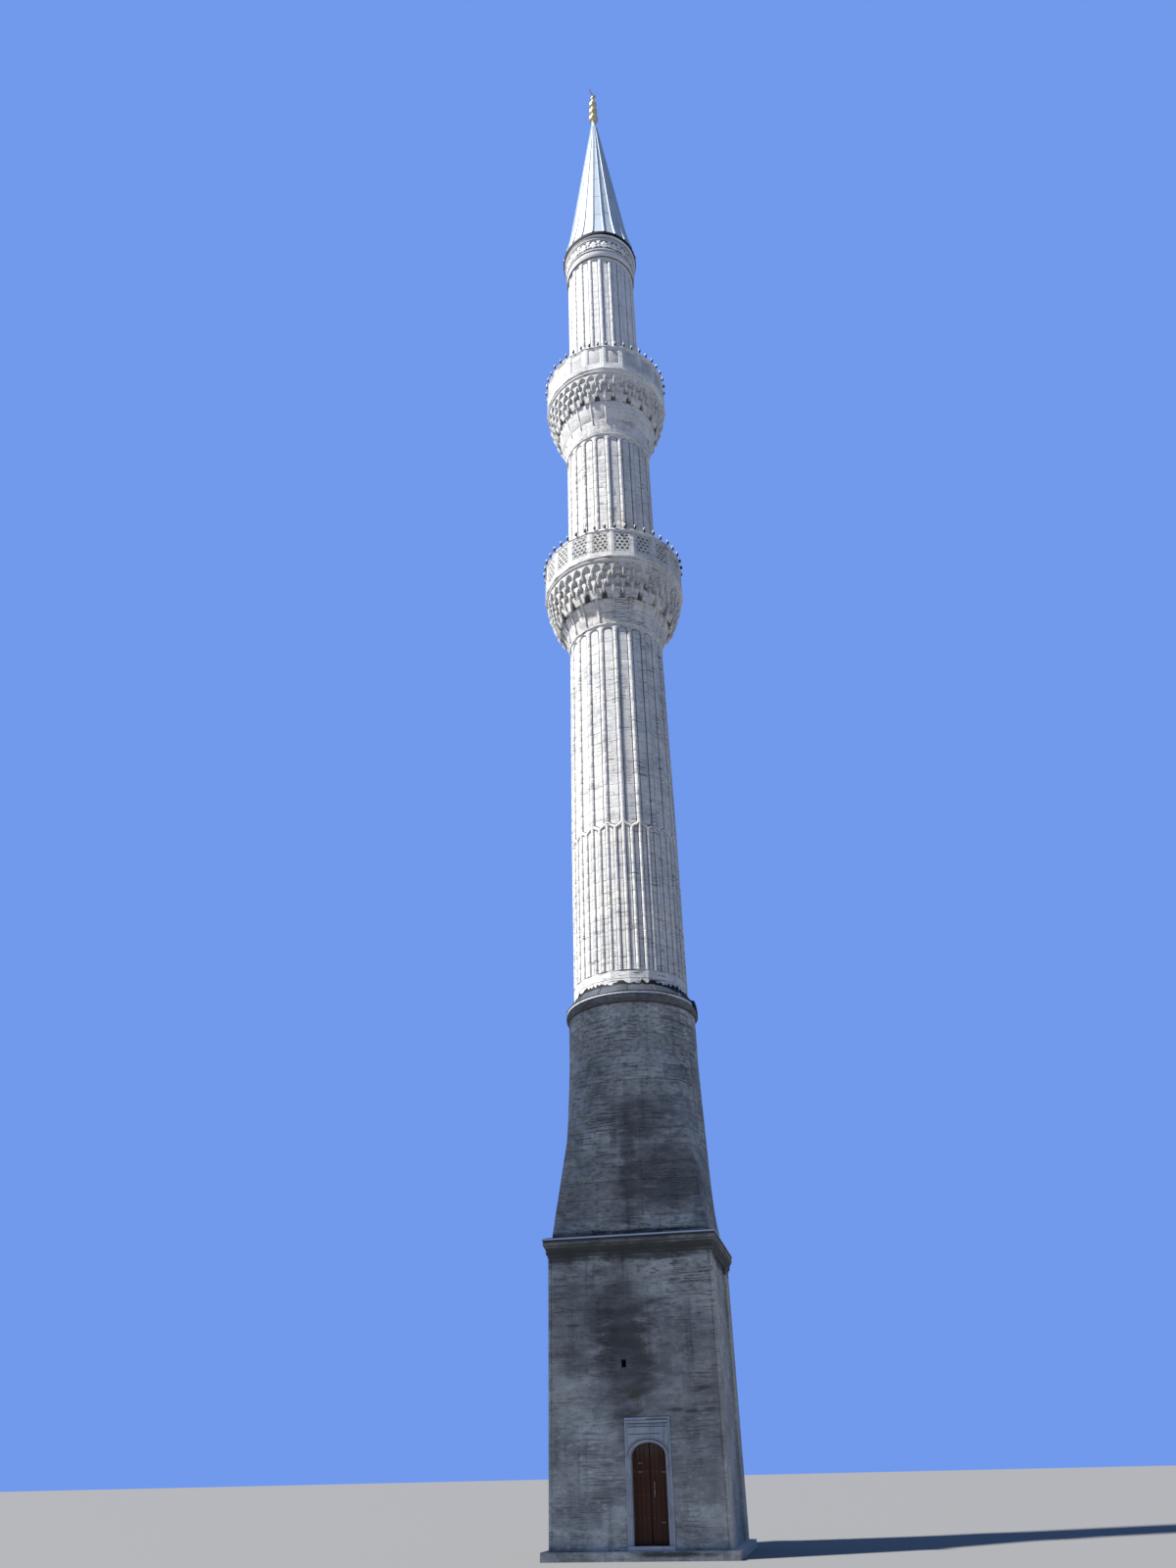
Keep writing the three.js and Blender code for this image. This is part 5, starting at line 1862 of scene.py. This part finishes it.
@dataclass
class Head:
    """The bands under the eave, the lead cap's seams and the gilt finial."""

    void: float = 0.480
    band_bottom: float = 22.290
    fillet: float = 22.485
    frieze: float = 22.515
    frieze_top: float = 22.835
    eave: float = 22.965
    eave_top: float = 23.045
    cap_top: float = 28.500
    ball_foot: float = 29.760
    crescent: float = 30.150
    crescent_radius: float = 0.125

    def build(self) -> None:
        """Makes the carved band, the cornice, the seams and the finial."""
        self._plain_band()
        self._frieze()
        self._cornice()
        self._rim()
        self._cap()
        self._finial()

    def _plain_band(self) -> None:
        """The plain shaded course and the fillet over it."""
        sketch = Sketch()
        low, fillet = self.band_bottom, self.fillet
        profile = [(self.void, low), (0.704, low), (0.711, low + 0.006), (0.711, fillet - 0.004),
                   (0.716, fillet), *roll(0.716, fillet + 0.016, 0.012, 0.013), (0.716, self.frieze),
                   (self.void, self.frieze), (self.void, low)]
        # Painted shade: dark at the band's lower edge, in the crease and underside of the fillet, and under
        # the frieze.
        soot_and_shade_mark = [0.5, 0.9, 0.0, 0.3, 0.9, *np.linspace(0.5, 0.0, 7), 0.8, 0.5, 0.5]
        sketch.lathe(profile, FINE, soot_and_shade_mark=soot_and_shade_mark)
        sketch.finish("fillet_band", Finish.SHAFT, smooth=50)

    def _frieze(self) -> None:
        """Leaf ornament in low relief, one motif to each side of the shaft."""
        low, high = self.frieze, self.frieze_top
        ss, tt = np.meshgrid(np.linspace(-0.5, 0.5, 31)[:-1], np.linspace(0, 1, 26))
        wide, tall = 0.722 * STEP, high - low
        lift = np.zeros(ss.shape)
        petals = (
            (0.0, 0.62, 0.042, 0.085, 0), (0.16, 0.52, 0.030, 0.066, -28), (0.27, 0.34, 0.026, 0.055, -62),
            (0.0, 0.26, 0.034, 0.034, 0), (0.5, 0.72, 0.036, 0.060, 0), (0.5, 0.36, 0.022, 0.050, 0),
            (0.40, 0.86, 0.030, 0.022, 30),
        )
        for x, z, a, b, degrees in petals + tuple((-x, z, a, b, -turn) for x, z, a, b, turn in petals):
            dx, dz = (ss - x) * wide, (tt - z) * tall
            c, k = math.cos(math.radians(degrees)), math.sin(math.radians(degrees))
            q = ((dx * c + dz * k) / a) ** 2 + ((-dx * k + dz * c) / b) ** 2
            lift = np.maximum(lift, 0.017 * np.sqrt(np.maximum(0, 1 - q)))
        edge = np.minimum(tt, 1 - tt) < 0.055
        lift = np.where(edge, 0.012, lift)
        # The ground between the leaves is drawn dark: painted shade.
        soot_and_shade_mark = np.where(lift < 0.002, 0.8, 0.0)
        z = low + tt * tall
        sketch = Sketch()
        sketch.around([polar(0.714 + lift, ss * STEP + k * STEP, z) for k in range(SIDES)], [soot_and_shade_mark] * SIDES)
        sketch.lathe([(0.72, high), (self.void, high), (self.void, low)], ROUND)
        sketch.finish("leaf_frieze", Finish.SHAFT, replaced=("carved_band",), smooth=45)

    def _cornice(self) -> None:
        """The cove under the eave."""
        low, high = self.frieze_top, self.eave
        cove = [(0.742 + 0.021 * (1 - math.cos(t)), low + 0.050 + 0.062 * math.sin(t))
                for t in np.linspace(0, math.pi / 2, 8)]
        profile = [(self.void, low), (0.728, low), (0.738, low + 0.008), (0.740, low + 0.026),
                   (0.735, low + 0.036), (0.735, low + 0.048), *cove, (0.765, low + 0.116), (0.765, high),
                   (self.void, high), (self.void, low)]
        # Painted shade in the mouldings' creases, in the cove and right under the eave.
        soot_and_shade_mark = [0.5, 0.9, 0.2, 0.0, 0.9, 0.7, *np.linspace(0.45, 0.1, 8), 0.1, 0.9, 0.5, 0.5]
        sketch = Sketch()
        sketch.lathe(profile, FINE, soot_and_shade_mark=soot_and_shade_mark)
        sketch.finish("eave_cove", Finish.SHAFT, replaced=("eave_cornice",), smooth=50)

    def _rim(self) -> None:
        """The rolled edge of the lead, drawn near black as painted shade."""
        z = (self.eave + self.eave_top) / 2
        edge = [(0.766 + 0.018 * math.sin(t) ** 0.5, z - 0.050 * math.cos(t))
                for t in np.linspace(0, math.pi, 13)]
        profile = [(0.600, z - 0.050), *edge, (0.600, z + 0.050), (0.600, z - 0.050)]
        sketch = Sketch()
        # tone 1 takes the dark lead's near-black colour: painted shade on the rolled edge.
        sketch.lathe(profile, FINE, tone=1.0)
        sketch.finish("eave_roll", Finish.DARK_LEAD, replaced=("eave_rim",), smooth=60)

    def _cap(self) -> None:
        """Twenty flat sheets of lead, dished towards the eave, with standing seams and laps."""
        eave, tip = self.eave_top, self.cap_top
        outline = ((0.772, eave), (0.708, 23.330), (0.646, 23.680), (0.598, 24.013), (0.560, 24.330),
                   (0.160, 27.714), (0.070, tip))
        radius, height = np.array(outline).T
        rng = np.random.default_rng(9)
        sheets = Sketch()
        skin = [(0.700, eave), *outline, (0.002, tip), (0.002, tip - 0.3), (0.700, eave)]
        for k in range(SIDES):
            rows = [polar(r, np.array([k, k + 1]) * STEP, z) for r, z in skin]
            sheets.grid(np.stack(rows), tone=float(rng.uniform(-1, 0.6)))
        sheets.finish("lead_sheets", Finish.LEAD, replaced=("cap",), smooth=12)
        sketch = Sketch()
        ring = np.linspace(0, math.tau, 7)[:-1]
        for k in range(SIDES):
            angle = k * STEP
            out = polar(1.0, angle, 0.0)
            side = polar(1.0, angle + math.pi / 2, 0.0)
            rows = []
            for i, (r, z) in enumerate(zip(radius, height)):
                swell = 0.023 - 0.015 * i / (len(radius) - 1)
                centre = polar(r + 0.003, angle, z)
                rows.append(np.stack([centre + swell * (math.cos(a) * side * 0.8 + math.sin(a) * out)
                                      for a in ring]))
            sketch.grid(np.stack(rows), closed=True)
            for z in np.arange(24.0, 27.6, 0.85) + rng.uniform(-0.12, 0.12):
                r = float(np.interp(z, height, radius))
                ends = [polar(r, (k + e) * STEP, z) for e in (0, 1)]
                lift = polar(0.003, (k + 0.5) * STEP, 0.0) + np.array([0, 0, 0.0004])
                sketch.bar(ends[0], ends[1], 0.010, lift, tone=1.0)
        sketch.finish("lead_seams", Finish.LEAD, smooth=50)

    def _finial(self) -> None:
        """Collar, three jars, ball and crescent, turned finely."""
        collar = [(0.002, self.cap_top), (0.076, self.cap_top), (0.078, 28.512), (0.070, 28.535),
                  (0.060, 28.570), (0.050, 28.640), (0.045, 28.700), (0.050, 28.722), (0.059, 28.738),
                  (0.055, 28.752), (0.043, 28.765), (0.040, 28.790)]
        lead = Sketch()
        lead.lathe(collar, 32)
        lead.finish("finial_neck", Finish.LEAD, replaced=("finial_collar",), smooth=60)
        jars = (("finial_large_jar", 28.790, 29.120, 0.112, 0.046),
                ("finial_middle_jar", 29.120, 29.460, 0.098, 0.044),
                ("finial_small_jar", 29.460, self.ball_foot, 0.090, 0.038))
        gilt = Sketch()
        for _, low, high, radius, neck in jars:
            gilt.lathe(self._jar(low, high, radius, neck), 48)
        gilt.finish("gilt_jars", Finish.GILT, replaced=tuple(j[0] for j in jars), smooth=60)
        self._crescent()

    @staticmethod
    def _jar(low: float, high: float, radius: float, neck: float) -> list[tuple[float, float]]:
        """A swelling jar between two beaded necks.

        Args:
            low, high: Its foot and top.
            radius, neck: Its widest radius and its neck's.

        Returns:
            The outline.
        """
        tall = high - low
        body = [(neck + (radius - neck) * math.sin(math.pi * s ** 0.8) ** 0.75,
                 low + tall * (0.06 + 0.80 * s)) for s in np.linspace(0.03, 0.97, 15)]
        bead = roll(neck * 0.85, low + tall * 0.93, 0.014, tall * 0.045, 6)
        return [(0.002, low), (neck * 1.1, low), (neck * 1.15, low + tall * 0.03), *body, *bead,
                (neck, high), (0.002, high)]

    def _crescent(self) -> None:
        """The ball on its rod and the crescent, its horns up and its section rounded."""
        sketch = Sketch()
        foot = self.ball_foot
        ball = [(0.052 * math.sin(t), foot + 0.115 - 0.052 * math.cos(t))
                for t in np.linspace(0.5, math.pi - 0.35, 13)]
        neck = foot + 0.285
        sketch.lathe([(0.002, foot), (0.030, foot), (0.021, foot + 0.040), *ball, (0.018, foot + 0.180),
                      (0.022, foot + 0.205), (0.015, foot + 0.225), (0.013, neck), (0.002, neck)], 32)
        middle, outer, opened = self.crescent, self.crescent_radius, math.radians(58)
        lift = outer * 0.38
        tip = np.array([outer * math.cos(opened), outer * math.sin(opened) - lift])
        inner = float(np.hypot(*tip))
        inner_open = math.atan2(tip[1], tip[0])
        shares = np.linspace(0, 1, 33)
        a = math.pi - opened + (math.pi + 2 * opened) * shares
        b = math.pi - inner_open + (math.pi + 2 * inner_open) * shares
        out = np.stack([outer * np.cos(a), middle + outer * np.sin(a)], -1)
        near = np.stack([inner * np.cos(b), middle + lift + inner * np.sin(b)], -1)
        thin = 0.011 * np.sin(np.pi * np.clip(shares, 0.03, 0.97)) ** 0.5
        rows = []
        for turn in np.linspace(0, math.tau, 9)[:-1]:
            line = near + (out - near) * (1 + math.cos(turn)) / 2
            rows.append(np.stack([line[:, 0], math.sin(turn) * thin, line[:, 1]], -1))
        skin = turned_about(np.stack(rows + rows[:1]), math.radians(60))
        sketch.grid(skin.transpose(1, 0, 2))
        sketch.finish("crescent", Finish.GILT, replaced=("finial_crescent",), smooth=60)


# Finishes of the nodes that stay

CARRIED_OVER = {
    Finish.BASE: ("plinth_course", "chamber_floor", "front_wall_left", "front_wall_right",
                  "front_wall_over_door", "side_wall_left", "side_wall_right", "back_wall", "door_lintel"),
    Finish.MARBLE: ("door_surround", "door_threshold"),
    Finish.BOARDS: ("door_leaf_left", "door_leaf_right", "lower_balcony_door", "upper_balcony_door"),
    Finish.IRON: ("door_pull",),
    Finish.SHAFT: ("lower_parapet", "upper_parapet"),
}


def dress_nodes(nodes: dict[str, bpy.types.Object]) -> None:
    """Gives the solids that still show their materials.

    Args:
        nodes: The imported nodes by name.
    """
    for finish, names in CARRIED_OVER.items():
        for name in names:
            nodes[name].data.materials.clear()
            nodes[name].data.materials.append(material(finish))
            log.info("%s: %s", name, finish.value)


# Camera, light and floor

@dataclass(frozen=True)
class Studio:
    """The view from the ground, a soft key light from the left and a pale floor."""

    place: tuple[float, float, float] = (2.325, -14.464, 0.800)
    right: tuple[float, float, float] = (0.97832, 0.20608, -0.02035)
    up: tuple[float, float, float] = (0.12514, -0.51004, 0.85100)
    forward: tuple[float, float, float] = (-0.16499, 0.83510, 0.52478)
    lens: float = 25.53
    sensor: float = 36.0
    sun_from: tuple[float, float, float] = (-0.839, -0.545, 1.235)
    sun_strength: float = 8.4
    sun_degrees: float = 3.0
    sun_colour: Colour = (1.0, 0.965, 0.91)
    sky_light: Colour = (0.092, 0.180, 0.40)
    sky_seen: Colour = (0.165, 0.32, 0.84)
    floor_colour: Colour = (0.20, 0.20, 0.197)
    floor_reach: float = 120.0
    far: float = 200.0
    shaded: tuple[Finish, ...] = (Finish.BASE, Finish.MARBLE, Finish.BOARDS, Finish.IRON)
    shaded_piece: str = "cornice_lead"

    def camera(self) -> None:
        """Places the camera at the photograph's viewpoint."""
        data = bpy.data.cameras.new("view")
        data.lens = self.lens
        data.sensor_width = self.sensor
        data.sensor_fit = "AUTO"
        data.clip_end = self.far
        camera = bpy.data.objects.new("view", data)
        turn = Matrix((self.right, self.up, -Vector(self.forward))).transposed()
        camera.matrix_world = Matrix.Translation(self.place) @ turn.to_4x4()
        bpy.context.scene.collection.objects.link(camera)
        bpy.context.scene.camera = camera

    def lights(self) -> None:
        """A sun and an even sky, which looks brighter than it lights."""
        data = bpy.data.lights.new("key", "SUN")
        data.energy = self.sun_strength
        data.angle = math.radians(self.sun_degrees)
        data.color = self.sun_colour
        key = bpy.data.objects.new("key", data)
        key.rotation_mode = "QUATERNION"
        key.rotation_quaternion = Vector(self.sun_from).to_track_quat("Z", "Y")
        bpy.context.scene.collection.objects.link(key)
        world = bpy.data.worlds.new("sky")
        world.use_nodes = True
        nodes, links = world.node_tree.nodes, world.node_tree.links
        lighting, seen = nodes["Background"], nodes.new("ShaderNodeBackground")
        lighting.inputs["Color"].default_value = (*self.sky_light, 1.0)
        seen.inputs["Color"].default_value = (*self.sky_seen, 1.0)
        choice, path = nodes.new("ShaderNodeMixShader"), nodes.new("ShaderNodeLightPath")
        links.new(path.outputs["Is Camera Ray"], choice.inputs[0])
        links.new(lighting.outputs[0], choice.inputs[1])
        links.new(seen.outputs[0], choice.inputs[2])
        links.new(choice.outputs[0], nodes["World Output"].inputs["Surface"])
        bpy.context.scene.world = world

    def shade(self) -> None:
        """Keeps the sun off the base and its door, which stand in the shade."""
        out_of_sun = {material(finish) for finish in self.shaded}
        lit = bpy.data.collections.new("in_the_sun")
        for piece in bpy.context.scene.objects:
            worn = set(getattr(piece.data, "materials", ()))
            in_shade = piece.name == self.shaded_piece or out_of_sun & worn
            if piece.type == "MESH" and not in_shade:
                lit.objects.link(piece)
        bpy.data.objects["key"].light_linking.receiver_collection = lit

    def floor(self) -> None:
        """A plain pale floor."""
        mesh = bpy.data.meshes.new("studio_floor")
        reach = self.floor_reach
        mesh.from_pydata([(-reach, -reach, 0), (reach, -reach, 0), (reach, reach, 0), (-reach, reach, 0)], [],
                         [(0, 1, 2, 3)])
        recipe = Recipe("studio_floor")
        mesh.materials.append(recipe.surface(base_color=self.floor_colour, roughness=0.9))
        floor = bpy.data.objects.new("studio_floor", mesh)
        bpy.context.scene.collection.objects.link(floor)


# The two balconies' own sizes

LOWER_BALCONY = Balcony(
    "lower", Panel.LATTICE, shaft_radius=0.764, void=0.560,
    bell=((0.760, 12.369), (0.770, 12.421), (0.780, 12.500), (0.796, 12.580), (0.822, 12.660),
          (0.856, 12.740), (0.894, 12.810)),
    spurs=((0.785, 12.425), (0.802, 12.440), (0.812, 12.480), (0.808, 12.535), (0.826, 12.600),
           (0.862, 12.680), (0.908, 12.770), (0.945, 12.830)),
    tiers=(
        Tier(12.805, 12.960, 0.885, 0.995, 20, 0.0, mouth=0.36, drop=0.0, dark=1.0, lean=0.45),
        Tier(12.960, 13.100, 0.955, 1.042, 40, HALF_STEP / 2, drop=0.110),
        Tier(13.100, 13.240, 0.995, 1.088, 40, 0.0, dark=0.3),
        Tier(13.240, 13.385, 1.045, 1.138, 40, HALF_STEP / 2, drop=0.110, dark=0.2),
    ),
    floor_top=13.490, panel_bottom=13.570, panel_top=14.015, rail_top=14.030, coping_top=14.075,
    outer=1.187,
)
UPPER_BALCONY = Balcony(
    "upper", Panel.PLAIN, shaft_radius=0.763, void=0.540,
    bell=((0.763, 16.825), (0.770, 16.877), (0.778, 16.980), (0.792, 17.080), (0.812, 17.180),
          (0.850, 17.300), (0.884, 17.420), (0.910, 17.550)),
    spurs=((0.790, 17.080), (0.812, 17.095), (0.826, 17.140), (0.824, 17.195), (0.846, 17.260),
           (0.880, 17.340), (0.900, 17.440), (0.936, 17.560)),
    tiers=(
        Tier(17.550, 17.690, 0.905, 0.985, 20, 0.0, mouth=0.36, drop=0.0, dark=1.0, lean=0.5),
        Tier(17.690, 17.820, 0.950, 1.024, 40, HALF_STEP / 2),
        Tier(17.820, 17.950, 0.985, 1.066, 40, 0.0, drop=0.105, dark=0.3),
        Tier(17.950, 18.080, 1.025, 1.104, 40, HALF_STEP / 2, drop=0.105, dark=0.2),
    ),
    floor_top=18.220, panel_bottom=18.325, panel_top=18.780, rail_top=18.792, coping_top=18.830,
    outer=1.150,
)


def main() -> None:
    """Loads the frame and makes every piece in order."""
    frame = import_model()
    studio = Studio()
    studio.camera()
    studio.lights()
    studio.floor()
    bpy.context.scene.view_settings.view_transform = "Standard"
    dress_nodes(frame["nodes"])
    Base().build()
    Doorway().build()
    Transition().build()
    LowerShaft().build()
    LOWER_BALCONY.build()
    Shaft("middle_ribbed_shaft", 0.763, 13.490, 16.825, 0.540, ("middle_shaft",), door_head=14.39,
          seed=43).dress()
    HiddenDoor("lower", 13.520, 0.763).build()
    UPPER_BALCONY.build()
    Shaft("upper_ribbed_shaft", 0.686, 18.220, 22.290, 0.480, ("upper_shaft",), door_head=19.12,
          seed=47).dress()
    HiddenDoor("upper", 18.250, 0.686).build()
    Head().build()
    studio.shade()


if __name__ == "__main__":
    main()
